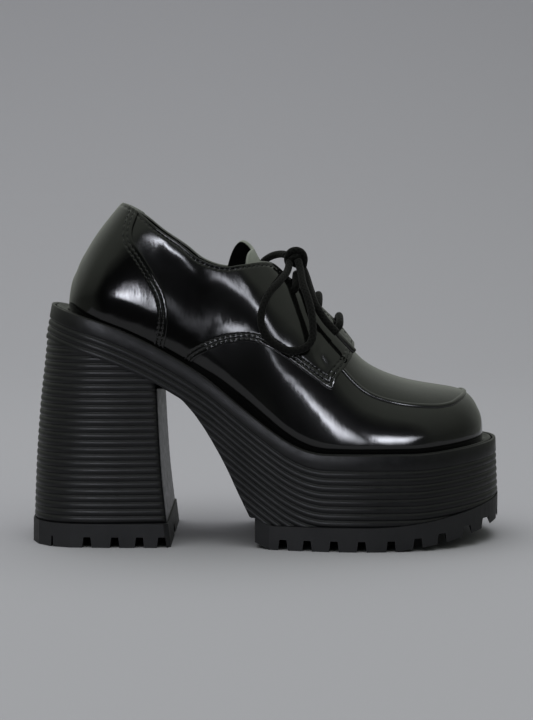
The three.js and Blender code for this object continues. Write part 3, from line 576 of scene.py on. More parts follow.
def ringed(middles, across, up, radii, sides, ends):
    """Vertices and faces of rings round a line, closed by a fan to each end."""
    across, up = (np.broadcast_to(way, (len(middles), 3))[:, None] for way in (across, up))
    angles = 2 * math.pi * np.arange(sides)[None, :, None] / sides
    rings = np.cos(angles) * across + np.sin(angles) * up
    rings = middles[:, None] + rings * radii[:, None, None]
    count = len(rings) * sides
    faces = grid_faces(len(rings), sides, closed=True).tolist()
    for k in range(sides):
        following = (k + 1) % sides
        faces.append([k, count, following])
        faces.append([count - sides + k, count - sides + following, count + 1])
    return np.concatenate([rings.reshape(-1, 3), ends]), faces


def joined(name, objects):
    with bpy.context.temp_override(active_object=objects[0], selected_editable_objects=objects):
        bpy.ops.object.join()
    objects[0].name = objects[0].data.name = name
    return objects[0]


def place(obj, slot, *nodes):
    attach(obj, "root")
    if nodes:
        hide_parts(*nodes)
    return obj


# Materials

class Net:
    """The shader nodes of a material, a light or the world."""

    def __init__(self, owner):
        owner.use_nodes = True
        self.tree = owner.node_tree

    def set(self, node, inputs):
        for key, value in inputs.items():
            if isinstance(value, bpy.types.NodeSocket):
                self.tree.links.new(value, node.inputs[key])
            else:
                node.inputs[key].default_value = value
        return node

    def add(self, kind, inputs=None):
        return self.set(self.tree.nodes.new("ShaderNode" + kind), inputs or {})

    def math(self, operation, *terms):
        node = self.add("Math", dict(enumerate(terms)))
        node.operation = operation
        return node.outputs[0]

    def times(self, first, *others):
        for other in others:
            first = self.math("MULTIPLY", first, other)
        return first

    def noise(self, scale, detail, roughness=0.5, vector=None):
        vector = vector or self.add("TexCoord").outputs["Object"]
        inputs = {"Vector": vector, "Scale": scale, "Detail": detail, "Roughness": roughness}
        return self.add("TexNoise", inputs).outputs["Fac"]

    def attribute(self, name):
        node = self.add("Attribute")
        node.attribute_name = name
        return node.outputs["Fac"]

    def ramp(self, value, stops):
        node = self.add("ValToRGB", {"Fac": value})
        elements = node.color_ramp.elements
        for _ in stops[2:]:
            elements.new(0.5)
        for element, (at, colour) in zip(elements, stops):
            element.position = at
            element.color = (*colour, 1)
        return node.outputs["Color"]

    def span(self, value, low, high, out_low, out_high):
        inputs = {"Value": value, "From Min": low, "From Max": high, "To Min": out_low, "To Max": out_high}
        return self.add("MapRange", inputs).outputs["Result"]

    def bump(self, height, distance, strength, normal=None):
        inputs = {"Height": height, "Distance": distance, "Strength": strength}
        return self.add("Bump", inputs | ({"Normal": normal} if normal else {})).outputs["Normal"]


def new_material(name):
    material = bpy.data.materials.new(name)
    net = Net(material)
    return material, net, net.tree.nodes["Principled BSDF"]


def leather_material(name, rows=()):
    """Polished leather. rows lists (distance attribute, run attribute, places of its stitch rows)."""
    material, net, shader = new_material(name)
    slanted = net.add("Mapping", {
        "Vector": net.add("TexCoord").outputs["Object"], "Scale": (1, 1, 0.3), "Rotation": (0, 0.6, 0)})
    streaks = net.noise(520, 4, 0.65, slanted.outputs["Vector"])
    normal = net.bump(streaks, 0.0001, 0.22, net.bump(net.noise(38, 2), 0.0011, 0.4))
    for distance, run, places in rows:
        d = net.attribute(distance)
        turn = net.times(net.attribute(run), 2 * math.pi / STITCH_PITCH)
        beat = net.math("MULTIPLY_ADD", net.math("COSINE", turn), 0.3, 0.7)
        for middle in places:
            off = net.math("DIVIDE", net.math("SUBTRACT", d, middle), 0.6)
            bell = net.math("EXPONENT", net.times(off, off, -1.0))
            normal = net.bump(net.times(bell, beat, -1.0), 0.0004, 0.8, normal)
    net.set(shader, {
        "Base Color": net.ramp(net.noise(55, 4, 0.6), [
            (0.3, (0.0018, 0.0018, 0.0018)), (0.75, (0.003, 0.0031, 0.0028))]),
        "Roughness": net.span(net.noise(900, 3, 0.65), 0.3, 0.7, 0.3, 0.42),
        "Specular IOR Level": 0.04, "Coat Weight": 1.0, "Coat IOR": 1.5, "Coat Roughness": 0.1,
        "Normal": normal, "Coat Normal": normal,
    })
    return material


def plain_leather(name, low, high, roughness, coat):
    material, net, shader = new_material(name)
    net.set(shader, {
        "Base Color": net.ramp(net.noise(120, 4), [(0.3, low), (0.7, high)]),
        "Roughness": net.span(net.noise(700, 3), 0.3, 0.7, roughness - 0.06, roughness + 0.08),
        "Coat Weight": coat, "Coat Roughness": 0.15,
        "Normal": net.bump(net.noise(420, 4, 0.65), 0.00018, 0.6),
    })
    return material


def rubber_material(name, low, high, roughness, grain):
    material, net, shader = new_material(name)
    net.set(shader, {
        "Base Color": net.ramp(net.noise(60, 5, 0.6), [(0.3, low), (0.75, high)]),
        "Roughness": net.span(net.noise(240, 4, 0.6), 0.3, 0.7, roughness - 0.07, roughness + 0.08),
        "Specular IOR Level": 0.3,
        "Normal": net.bump(net.noise(70, 3), 0.0005, 0.3, net.bump(net.noise(1400, 2, 0.6), 0.00006, grain)),
    })
    return material


def lace_material():
    """A braid: two sets of slanting strands, from the run along the cord and the angle round it."""
    material, net, shader = new_material("lace_cotton")
    split = net.add("SeparateXYZ", {"Vector": net.add("UVMap").outputs["UV"]}).outputs
    along = net.times(split["X"], 2 * math.pi)
    strands = []
    for turns in (5, -5):
        slant = net.math("MULTIPLY_ADD", split["Y"], turns * 2 * math.pi, along)
        strands.append(net.math("SINE", slant))
    height = net.math("MAXIMUM", *strands)
    fuzzy = net.math("MULTIPLY_ADD", net.noise(2600, 4, 0.7), 0.9, height)
    net.set(shader, {
        # The base colour is darker where the braid dips between strands: painted shade in its grooves
        "Base Color": net.ramp(height, [(0.0, (0.002, 0.002, 0.002)), (1.0, (0.007, 0.007, 0.007))]),
        "Roughness": 0.88, "Specular IOR Level": 0.25, "Sheen Weight": 0.08, "Sheen Roughness": 0.4,
        "Normal": net.bump(fuzzy, 0.00016, 0.7),
    })
    return material


leather_quarter = leather_material("leather_quarter", [
    ("d_collar", "a_collar", (COLLAR_INSET,)), ("d_quarter", "a_quarter", QUARTER_INSETS),
    ("d_throat", "x_run", (FACING_INSET,))])
leather_vamp = leather_material("leather_vamp")
leather_counter = leather_material("leather_counter", [
    ("d_collar", "a_collar", (COLLAR_INSET,)), ("d_counter", "a_counter", COUNTER_INSETS)])
# The tongue's light olive grey is a painted reflection of the bright room on black leather, not the
# leather's own colour
leather_tongue = plain_leather("leather_tongue", (0.17, 0.182, 0.16), (0.21, 0.223, 0.197), 0.5, 0.3)
lining = plain_leather("lining_leather", (0.006, 0.006, 0.007), (0.012, 0.012, 0.014), 0.5, 0.0)
thread = plain_leather("thread", (0.006, 0.006, 0.006), (0.014, 0.014, 0.014), 0.42, 0.0)
rubber = rubber_material("sole_rubber", (0.004, 0.004, 0.0044), (0.007, 0.007, 0.0075), 0.38, 0.5)
tread_rubber = rubber_material("tread_rubber", (0.0095, 0.0095, 0.0105), (0.015, 0.015, 0.016), 0.58, 0.8)
lace_cotton = lace_material()
aglet_plastic = plain_leather("aglet_plastic", (0.008, 0.008, 0.008), (0.013, 0.013, 0.013), 0.3, 0.3)


# Laces

BRAID_PITCH = 2.6
TUBE_STEP = 0.7
TUBE_SIDES = 16


def tube(name, points, blunt=False):
    """A length of lace along points, with its run and turn in its UVs, and its line."""
    line = flowing(points, TUBE_STEP)
    tangents = unit(np.gradient(line, axis=0))
    side = np.cross(tangents[0], (0.1, 0.2, 1))
    across = []
    for t in tangents:
        side = unit(side - t * (side @ t))
        across.append(side)
    radii = np.full(len(line), LACE / 2)
    if not blunt:
        steps = np.arange(len(line))
        near_end = np.minimum(steps, steps[::-1]) * TUBE_STEP
        rounding = np.maximum(0, 1 - near_end / (LACE / 4))
        radii *= np.sqrt(np.maximum(1 - rounding**2, 0.02))
    across = np.array(across)
    verts, faces = ringed(line, across, np.cross(tangents, across), radii, TUBE_SIDES, [line[0], line[-1]])
    obj = make_mesh(name, verts, faces, lace_cotton)
    uv = obj.data.uv_layers.new(name="UVMap")
    rings = len(line)
    for poly in obj.data.polygons:
        turn = [(v % TUBE_SIDES) / TUBE_SIDES if v < rings * TUBE_SIDES else 0.5 for v in poly.vertices]
        if max(turn) - min(turn) > 0.5:
            turn = [t + 1 if t < 0.5 else t for t in turn]
        for corner, v, t in zip(poly.loop_indices, poly.vertices, turn):
            uv.data[corner].uv = (min(v // TUBE_SIDES, rings - 1) * TUBE_STEP / BRAID_PITCH, t)
    return obj, line


def aglet(name, line):
    end = line[-1]
    along = unit(line[-1] - line[-4])
    side = unit(np.cross(along, (0, 0, 1)))
    runs, radii = np.array(AGLET_ROWS).T
    ends = [end + along * run for run in (0.15, 13.9)]
    rings = ringed(end + along * runs[:, None], side, np.cross(along, side), radii, 20, ends)
    return make_mesh(name, *rings, aglet_plastic)


for key, points in CORDS.items():
    cord, line = tube("lace_" + key, points, blunt=True)
    place(cord, "lace", "lace_" + key)
    with_pieces = []
    if key.startswith("end"):
        tip = "aglet_" + key[4:]
        with_pieces = [place(aglet(tip, line), "aglet", tip)]


def facing_reach(x):
    return OVERLAY + TAB_CURL * smoothstep(x, FACING_FRONT - TAB_CURL_LENGTH, FACING_FRONT)


# Bars: the lace out of one eyelet and down the other
for i, share in enumerate(EYELETS, 1):
    points = []
    for across, lift in BAR_ROWS + [(0, 1.95)] + [(-across, lift) for across, lift in BAR_ROWS[::-1]]:
        p, n = on_top(share * LENGTH, THROAT_MIDDLE + across * (THROAT_WIDTH / 2 + EYELET_INSET))
        points.append(p + n * (facing_reach(share * LENGTH) + lift))
    place(tube(f"bar_{i}", points)[0], "lace", f"lace_bar_{i}")

strands = [tube(f"strand_{i}", np.add(strand, KNOT))[0] for i, strand in enumerate(KNOT_STRANDS)]
place(joined("knot", strands), "lace", "lace_knot")


# Upper

EDGE_ROUND = 0.5
OVERLAP = 7.0
VAMP_THICKNESS = 1.4
# Points in side view, width, depth or -height, side: -1 outer, 0 both
QUARTER_CREASES = [
    ([(27.1, 117.5), (29.2, 110.5), (28.6, 105), (32, 98)], 1.3, 0.6, -1),
    ([(31.4, 115), (33.0, 109), (33.4, 104), (35, 100)], 2.2, -0.35, -1),
    ([(-58, 166), (-53, 162), (-47, 157.6), (-42.7, 152.4), (-39, 147), (-33, 137)], 4.2, -0.42, 0),
    ([(-19, 158), (-14.5, 151), (-9.5, 144), (-5, 138)], 2.6, -0.27, 0),
]


def creased(fields):
    """Height of the quarters' soft troughs and ridges."""
    total = np.zeros(len(fields))
    side = np.sign(fields[:, PY] - bend(fields[:, PX]))
    for points, width, depth, which in QUARTER_CREASES:
        line = flowing(points, 1.5)
        distance, along = nearest(line, fields)
        fade = np.sin(np.pi * np.clip(along / run_along(line)[-1], 0.02, 0.98)) ** 0.6
        trough = -depth * fade * np.exp(-(distance**2) / (2 * width**2))
        total += np.where((which == 0) | (side == which), trough, 0)
    return total


def shell(name, fields, faces, offset, thickness, material, attributes=None):
    """A closed sheet: its outer skin, rounded edges and its underside."""
    count = len(fields)
    p, n = fields[:, :3], unit(fields[:, 3:6])
    offset, thickness = np.full(count, offset), np.full(count, thickness)
    outer = p + n * offset[:, None]
    verts = [outer, p + n * (offset - thickness)[:, None]]
    skin = face_list(faces)
    all_faces = skin + [[i + count for i in reversed(face)] for face in skin]
    attrs = {}
    for key, values in (attributes or {}).items():
        attrs[key] = [values, np.full(count, 99.0) if key.startswith("d_") else values]
    total = 2 * count
    steps = [(angle, 0) for angle in (0.35, 0.75, 1.15, math.pi / 2)]
    steps += [(angle, 1) for angle in (math.pi / 2, 2.0, 2.45, 2.85)]
    for loop in boundary_loops(faces):
        ring = np.array(loop)
        q, thick = outer[ring], thickness[ring]
        out = unit(np.cross(np.roll(q, -1, 0) - np.roll(q, 1, 0), n[ring]))
        for _ in range(2):
            out = (np.roll(out, 1, 0) + 2 * out + np.roll(out, -1, 0)) / 4
        out = unit(out)
        r = np.minimum(EDGE_ROUND, thick / 2.05)
        lines = [ring]
        for angle, lower in steps:
            down = r * (1 - math.cos(angle)) + lower * (thick - 2 * r)
            verts.append(q + out * (r * math.sin(angle))[:, None] - n[ring] * down[:, None])
            for values in attrs.values():
                values.append(values[0][ring])
            lines.append(np.arange(len(ring)) + total)
            total += len(ring)
        lines.append(ring + count)
        for a, b in zip(lines, lines[1:]):
            all_faces += np.stack([np.roll(a, -1), a, b, np.roll(b, -1)], 1).tolist()
    attrs = {key: np.concatenate(values) for key, values in attrs.items()}
    return make_mesh(name, np.concatenate(verts), all_faces, material, attrs)


def region(*limits):
    """The part of the last's skin where each limit is positive."""
    fields, faces = FIELDS, (grid_faces(*LAST.shape[:2])[:, ::-1], [])
    for limit in limits:
        fields, faces = clip(fields, faces, limit(fields))
    return used_only(fields, faces)


def panel(name, fields, faces, offset, thickness, material, *nodes):
    names = ("d_quarter", "a_quarter", "d_counter", "a_counter", "d_collar", "a_collar")
    attributes = dict(zip(names, fields[:, DQ:DT].T))
    attributes["d_throat"] = np.where(fields[:, PX] > -12, fields[:, DT], 99.0)
    attributes["x_run"] = np.interp(fields[:, PX], crown_run_x, crown_run)
    place(shell(name, fields, faces, offset, thickness, material, attributes), "leather", *nodes)


def outside_slit(f):
    return np.maximum(f[:, DT], f[:, PX] - THROAT_FRONT)


fields, faces = region(lambda f: OVERLAP - f[:, DQ], outside_slit)
panel("vamp", fields, faces, 0.0, VAMP_THICKNESS, leather_vamp, "upper")

for side, name in ((-1, "quarter_outer"), (1, "quarter_inner")):
    fields, faces = region(
        lambda f: f[:, DQ],
        lambda f: f[:, DL],
        lambda f: side * (f[:, PY] - bend(f[:, PX])),
        lambda f: np.maximum(f[:, DT], THROAT_BACK - f[:, PX]),
        lambda f: OVERLAP - f[:, DC])
    offset = facing_reach(fields[:, PX]) + creased(fields) * smoothstep(fields[:, DQ], 0, 3)
    near_inside = np.minimum(fields[:, DL], np.where(fields[:, PX] > -16, np.abs(fields[:, DT]), 99))
    thickness = OVERLAY + 0.35 + (WALL - 0.6) * (1 - smoothstep(near_inside, 0.5, 5))
    panel(name, fields, faces, offset, thickness, leather_quarter)

fields, faces = region(lambda f: f[:, DC], lambda f: f[:, DL])
thickness = OVERLAY + 0.1 + (OVERLAY + WALL - 0.4) * (1 - smoothstep(fields[:, DL], 0.5, 5))
panel("counter", fields, faces, 2 * OVERLAY, thickness, leather_counter)

fields, faces = region(lambda f: f[:, DL] - 0.5, outside_slit)
inner = fields[:, :3] - fields[:, 3:6] * WALL
place(make_mesh("upper_lining", inner, face_list(faces, turned=True), lining), "lining")


# Apron seam: a raised line along the edge of the apron

SEAM_HALF = 1.5
SEAM_HEIGHT = 1.45
SEAM_SINK = 0.25

apron_reach = column(APRON_ROWS, 1)
apron_back, apron_front = APRON_ROWS[0][0] * LENGTH, APRON_ROWS[-1][0] * LENGTH
xs = apron_front - (apron_front - apron_back) * np.linspace(1, 0, 160) ** 2
near = np.stack([xs, -apron_reach(xs) * last_half(xs)], 1)
plan = np.concatenate([near, (near * (1, -1))[::-1][1:]])
plan[:, 1] += bend(plan[:, 0])
plan = resampled(plan, 0.25)
soft = plan.copy()
for k in range(2):
    soft[4:-4, k] = np.convolve(plan[:, k], np.ones(9) / 9, "valid")
seam_points, seam_normals = map(np.array, zip(*[on_top(x, y) for x, y in resampled(soft, 0.7)]))
seam_across = unit(np.cross(unit(np.gradient(seam_points, axis=0)), seam_normals))
seam = []
for a in np.linspace(0, math.pi, 13):
    over = SEAM_HEIGHT * math.sin(a) - SEAM_SINK
    seam.append(seam_points + seam_across * SEAM_HALF * math.cos(a) + seam_normals * over)
seam_faces = grid_faces(len(seam_points), len(seam)).tolist()
place(make_mesh("apron_seam", np.stack(seam, 1), seam_faces, leather_vamp), "leather")


# Stitches

THREAD_RADIUS = 0.3
THREAD_SINK = 0.16
# Share of the stitch's length and of its radius, for each ring
THREAD_ROWS = [(0.06, 0.6), (0.2, 0.95), (0.5, 1.0), (0.8, 0.95), (0.94, 0.6)]
COLLAR_STITCHES = (-70.5, 4)
TAB_STITCHES = (88, 112)
FACING_STITCHES = (9.5, 42.5)


def stroke(start, end, normal):
    """Vertices and faces of one stitch: a short rounded stroke, a little arched."""
    share, radii = np.array(THREAD_ROWS).T
    along = end - start
    arch = normal * THREAD_RADIUS * 0.9
    middles = start + along * share[:, None] + arch * np.sin(math.pi * share)[:, None]
    side = unit(np.cross(normal, along))
    return ringed(middles, side, 0.8 * normal, radii * THREAD_RADIUS, 6, [start, end])


def stitch_ends(k):
    return (k + 0.13) * STITCH_PITCH, (k + 0.87) * STITCH_PITCH


def stitch_row(side, edge, inset, lift_of, keep):
    """Stitches along an edge's own run, moved sideways by an inset and laid on the surface."""
    run = run_along(edge)
    slope = np.gradient(edge, run, axis=0)
    out = []
    for k in range(1, int(run[-1] / STITCH_PITCH)):
        ends = []
        for at in stitch_ends(k):
            a, b, da, db = (np.interp(at, run, c) for c in (*edge.T, *slope.T))
            a, b = a + db * inset, b - da * inset
            if keep(a, b):
                p, n = on_side(a, b, side)
                ends.append((p + n * (lift_of(a) - THREAD_SINK), n))
        if len(ends) == 2:
            (start, n0), (end, n1) = ends
            out.append((start, end, unit(n0 + n1)))
    return out


def collar_height(x):
    return np.interp(x, *collar_line.T)


def above_rim(x, z):
    return z > rim(x) + 1


def facing_stitches(side):
    """The row beside the throat, over the crown's slope."""
    out = []
    y = THROAT_MIDDLE + side * (THROAT_WIDTH / 2 + FACING_INSET)
    first, last = FACING_STITCHES
    for k in range(int(crown_run[-1] / STITCH_PITCH)):
        x0, x1 = np.interp(stitch_ends(k), crown_run, crown_run_x)
        (p0, n0), (p1, n1) = on_top(x0, y), on_top(x1, y)
        if x1 > last or (x0 < first and p0[2] > collar_height(min(x0, first - 0.6)) - COLLAR_INSET):
            continue
        lift = facing_reach(x0) - THREAD_SINK
        out.append((p0 + n0 * lift, p1 + n1 * lift, n0))
    return out


stitches = []
for side in (-1, 1):
    stitches += stitch_row(side, collar_line, COLLAR_INSET, lambda x: OVERLAY,
                           lambda x, z: COLLAR_STITCHES[0] < x < COLLAR_STITCHES[1])
    for inset in QUARTER_INSETS:
        stitches += stitch_row(side, quarter_line, -inset, facing_reach,
                               lambda x, z: above_rim(x, z) and x < 35.5 - 0.9 * inset)
    for inset in COUNTER_INSETS:
        stitches += stitch_row(side, counter_edge, -inset, lambda x: 2 * OVERLAY,
                               lambda x, z: above_rim(x, z) and z < collar_height(x) - 0.8)
    stitches += stitch_row(side, tab_line, -QUARTER_INSETS[0], facing_reach,
                           lambda x, z: TAB_STITCHES[0] < z < TAB_STITCHES[1])
    stitches += facing_stitches(side)
verts, faces = [], []
for stitch in stitches:
    points, stroke_faces = stroke(*stitch)
    faces += [[len(verts) + k for k in face] for face in stroke_faces]
    verts += points.tolist()
place(make_mesh("stitching", verts, faces, thread), "leather")


# Tongue

TONGUE_HALF = 21
TONGUE_COLS, TONGUE_STEPS = 61, 110
TONGUE_DEPTH = WALL + CLEARANCE
TONGUE_THICKNESS = 2.0

tongue_share = column(TONGUE_ROWS, 1, INSTEP)
tongue_top = TONGUE_ROWS[-1][0] * LENGTH
tongue_end = column(TONGUE_END_ROWS, 1, LENGTH, TONGUE_HALF)


def tongue_column(y):
    """Points from the tongue's free end to its foot under the vamp, at a place across it."""
    share = np.linspace(0, 1, TONGUE_STEPS)
    end = float(tongue_end(y))
    foot = 0.2 * LENGTH - 1.2 * max(0, abs(y) - 13)
    x = end + (foot - end) * share
    blend = smoothstep(x, tongue_top - 3, tongue_top + 3)
    crown = rim(x) + tongue_share(x) * (1 - blend) + crown_share(x) * blend
    slope = np.gradient(crown) / np.gradient(x)
    crown -= TONGUE_DEPTH * np.sqrt(1 + slope**2)
    low = rim(x) + belly(x) * (crown - rim(x))
    y = y * (1 - 0.09 * smoothstep(share, 0.6, 1))
    rolled = 1 + (0.2 if y[0] > 0 else 0.06) * smoothstep(-x, -4, 12)
    off = np.abs(THROAT_MIDDLE + y * rolled - bend(x)) / (last_half(x) - TONGUE_DEPTH)
    z = low + (crown - low) * (1 - np.clip(off, 0, 1) ** side_power(x)) ** (1 / top_power(x))
    return np.stack([x, THROAT_MIDDLE + y, z], 1)


sheet = np.array([tongue_column(y) for y in np.linspace(-TONGUE_HALF, TONGUE_HALF, TONGUE_COLS)])
fields = np.concatenate([sheet, grid_normals(sheet)], 2).reshape(-1, 6)
faces = (grid_faces(TONGUE_COLS, TONGUE_STEPS), [])
tongue = shell("tongue_leather", fields, faces, 0.0, TONGUE_THICKNESS, leather_tongue)
# The top of the tongue keeps its painted reflection, and the faces turned down take the dark lining
tongue.data.materials.append(lining)
for face in tongue.data.polygons:
    if face.normal.z < -0.02:
        face.material_index = 1
place(tongue, "leather", "tongue")


# Insole

FOOTBED_ROWS, FOOTBED_COLS = 120, 41
FOOTBED_THICKNESS = 1.8

xs = np.linspace(VAMP_BACK + 3, VAMP_FRONT - 4, FOOTBED_ROWS)[:, None]
half = np.maximum(last_half(xs) * (1 - tuck(xs)) - WALL - CLEARANCE - 0.4, 0.5)
across = np.linspace(-1, 1, FOOTBED_COLS)[None]
level = rim(xs) - LIP_HEIGHT + CLEARANCE + 2.5
grid = np.stack([xs + 0 * across, bend(xs) + half * across, level - 0.6 * (1 - across**4)], 2)
grid = grid.reshape(-1, 3)
below = len(grid)
top_faces = grid_faces(FOOTBED_ROWS, FOOTBED_COLS)[:, ::-1]
faces = top_faces.tolist() + (top_faces[:, ::-1] + below).tolist()
ring = boundary_loops((top_faces, []))[0]
faces += [[b, a, a + below, b + below] for a, b in zip(ring, ring[1:] + ring[:1])]
verts = np.concatenate([grid, grid - (0, 0, FOOTBED_THICKNESS)])
place(make_mesh("footbed", verts, faces, lining), "lining", "insole")


# Sole unit

RIB_SAMPLES = (0.0, 0.07, 0.2, 0.38, 0.62, 0.8, 0.93)
# Up the inside of the lip and over it: offset from its inner face, drop
LIP_ROWS = [(-8, LIP_HEIGHT), (-0.4, LIP_HEIGHT), (-0.1, LIP_HEIGHT - 0.2), (0, LIP_HEIGHT - 0.6),
            (0.02, 0.5), (0.18, 0.16), (0.5, 0.0), (LIP_WIDTH - 0.5, 0.0), (LIP_WIDTH - 0.17, 0.15)]
# Depth of the smooth band's rings, inset
BAND_ROWS = [(0.55, 0.0), (BAND - 0.6, 0.0), (BAND, 0.12), (BAND + 0.3, 0.45)]
PLATFORM_RIBS = 13
SEAT_DEPTH = BAND + SLOPING_RIBS * RIB_PITCH - CLEARANCE
ARCH_START = ARCH_ROWS[0][0] * LENGTH


def sole_ends(offset, depth):
    return RIM_BACK - offset - depth * HEEL_FLARE, RIM_FRONT + offset + depth * SIDE_FLARE


def sole_half(x, offset=0.0, depth=0.0):
    """Half width of the sole unit, an offset outside its wall, at a depth below its top edge."""
    side = SIDE_LEDGE + offset + depth * SIDE_FLARE
    return rounded_half(x, table_half(x) + side, *sole_ends(offset, depth))


ring_xs = even_places(sole_half, RIM_BACK, RIM_FRONT, 1.3)
ring_share = (ring_xs - RIM_BACK) / (RIM_FRONT - RIM_BACK)
RING = 2 * len(ring_share) - 2


def sole_ring(offset, depth, drop):
    """Points round the sole unit, a drop below its top edge."""
    back, front = sole_ends(offset, depth)
    x = back + (front - back) * ring_share
    half = sole_half(x, offset, depth)
    near, far = (np.stack([x, bend(x) + side, rim(x) - drop], 1) for side in (-half, half))
    return np.concatenate([near, far[1:-1][::-1]])


def ribs(start, count):
    """Heights or depths of the rings over some ribs, with their insets."""
    return [(start + (rib + f) * RIB_PITCH, RIB_DEPTH * abs(2 * f - 1) ** 2.6)
            for rib in range(count) for f in RIB_SAMPLES]


def tread_lift(x):
    """How far the tread's top rises at the toe and the waist."""
    ahead = np.maximum(x - TREAD_ROLL, 0) / (LENGTH / 2 - TREAD_ROLL)
    waist = np.clip((TREAD_BACK + 9 - x) / 9, 0, 1)
    return 12 * ahead**1.6 + np.where(x > TREAD_BACK - 30, 3.6 * waist**1.5, 0)


arch_depth = column(ARCH_ROWS, 1, PLATFORM)


def underside(x):
    low = np.maximum(rim(x) - arch_depth(x), TREAD_HEIGHT + tread_lift(x) + CLEARANCE)
    return np.where(x < ARCH_START, rim(x) - SEAT_DEPTH - 0.6, low)


side_rows = BAND_ROWS + ribs(BAND + RIB_DEPTH, PLATFORM_RIBS)
rings = [sole_ring(offset - LIP_WIDTH, 0.0, drop) for offset, drop in LIP_ROWS]
rings += [sole_ring(-inset, depth, depth) for depth, inset in side_rows]
verts = np.concatenate(rings)
sides = (grid_faces(len(rings), RING, closed=True), [])
verts, sides = used_only(*clip(verts, sides, verts[:, 2] - underside(verts[:, 0])))
sole_parts = [make_mesh("sole_side", verts, face_list(sides, turned=True), rubber)]

under = []
for x in np.linspace(ARCH_START - 6, TREAD_BACK + 3, 60):
    z = float(underside(max(x, ARCH_START)))
    half = float(sole_half(x, 0.0, float(rim(x)) - z)) - 0.3
    under.append([(x, float(bend(x)) + half * t, z) for t in np.linspace(-1, 1, 25)])
sole_parts.append(make_mesh("sole_under", under, grid_faces(60, 25).tolist(), rubber))

# Heel block
HEEL_LOW = TREAD_HEIGHT + CLEARANCE
HEEL_CORNER = 2.5
HEEL_TAPER = 1.8
HEEL_MIDDLE = float(bend(HEEL_ROUND))

heel_curves = [column(HEEL_ROWS, i, scale, HEEL) for i, scale in enumerate((LENGTH, LENGTH, BALL, 1.0), 1)]


def heel_outline(z, inset):
    """Plan of the heel block: round at the back, square at the breast."""
    back, breast, half, power = (float(curve(z)) for curve in heel_curves)
    back, half, power = back + inset, half - inset, 2 / power
    corner_x, corner_y = breast - HEEL_CORNER, half - HEEL_TAPER - HEEL_CORNER
    a, b = np.linspace(0, np.pi / 2, 41), np.linspace(0, np.pi / 2, 6)[1:]
    s, t = np.linspace(0, 1, 12)[1:], np.linspace(0, 1, 8)[1:]
    x = np.concatenate([
        HEEL_ROUND - (HEEL_ROUND - back) * np.cos(a) ** power, HEEL_ROUND + (corner_x - HEEL_ROUND) * s,
        corner_x + HEEL_CORNER * np.sin(b), breast + 0 * t])
    y = np.concatenate([
        half * np.sin(a) ** power, half - HEEL_TAPER * s**1.3,
        corner_y + HEEL_CORNER * np.cos(b), corner_y * (1 - t)])
    near, far = (np.column_stack([x, HEEL_MIDDLE + side * y, np.full(len(x), z)]) for side in (-1, 1))
    return np.concatenate([near, far[-2:0:-1]])


heel_ribs = ribs(HEEL_LOW, int((HEEL - HEEL_LOW) / RIB_PITCH))
rings = np.array([heel_outline(z, inset) for z, inset in heel_ribs])
verts = rings.reshape(-1, 3)
sides = (grid_faces(*rings.shape[:2], closed=True), [])
verts, sides = used_only(*clip(verts, sides, rim(verts[:, 0]) - SEAT_DEPTH + 0.5 - verts[:, 2]))
sole_parts.append(make_mesh("heel_block", verts, face_list(sides), rubber))
place(joined("sole", sole_parts), "sole", "sole_unit")


# Welt and treads

# From the groove to under the upper: offset, height over the deck
WELT_ROWS = [(0.0, 0.1), (0.0, 0.9), (-0.25, 1.5), (-0.8, 1.85), (-1.5, 1.8), (-2.3, 1.4), (-3.2, 1.0),
             (-6.0, 0.9)]

welt = [sole_ring(offset - LIP_WIDTH - WELT_GROOVE, 0.0, LIP_HEIGHT - up) for offset, up in WELT_ROWS]
welt_faces = grid_faces(len(welt), RING, closed=True)[:, ::-1].tolist()
place(make_mesh("welt_bead", welt, welt_faces, rubber), "sole", "welt")

for name in ("forefoot_tread", "heel_tread"):
    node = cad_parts[name]
    node.data.materials.clear()
    node.data.materials.append(tread_rubber)
    edge = node.modifiers.new("edge", "BEVEL")
    edge.width = 0.0005
    edge.segments = 2
    edge.limit_method = "ANGLE"
    edge.angle_limit = math.radians(35)


# Stage: a floor, and a backdrop that rises behind it

REACH = 4.0
NEAR_X, NEAR_Y = 0.5, -0.35
FLOOR_BACK = 0.9
SWEEP_RADIUS = 0.9
BACKDROP_TOP = 3.2

stage_material, net, shader = new_material("studio_grey")
net.set(shader, {"Base Color": (0.362, 0.358, 0.385, 1), "Roughness": 0.85, "Specular IOR Level": 0.1})


def stage(name, points, faces):
    obj = make_mesh(name, np.array(points) / MM, faces, stage_material)
    return obj


floor_corners = [(x, y, 0) for y in (NEAR_Y, FLOOR_BACK) for x in (-NEAR_X, NEAR_X)]
stage("floor", floor_corners, [(0, 1, 3, 2)])
# The leather mirrors the floor near the shoe only
far_points = [(x, y, 0) for y in (-REACH, NEAR_Y, FLOOR_BACK) for x in (-REACH, -NEAR_X, NEAR_X, REACH)]
cells = grid_faces(3, 4).tolist()
floor_rest = stage("floor_rest", far_points, cells[:4] + cells[5:])
sweep = [(FLOOR_BACK + SWEEP_RADIUS * math.sin(a), SWEEP_RADIUS * (1 - math.cos(a)))
         for a in np.linspace(0, math.pi / 2, 19)]
sweep.append((FLOOR_BACK + SWEEP_RADIUS, BACKDROP_TOP))
backdrop = stage("backdrop", [(x, y, z) for y, z in sweep for x in (-REACH, REACH)],
                 grid_faces(len(sweep), 2).tolist())
floor_rest.visible_glossy = backdrop.visible_glossy = False


# Lights: softboxes in a plane in front of the shoe, each for its own pieces

FRONT = -1.0
SOFTBOX_TINT = (0.92, 0.945, 1.04)
QUARTERS = ("quarter_outer", "quarter_inner", "stitching")
FRONT_LEATHER = ("vamp", "apron_seam")
RUBBER_PIECES = ("sole", "forefoot_tread", "heel_tread")
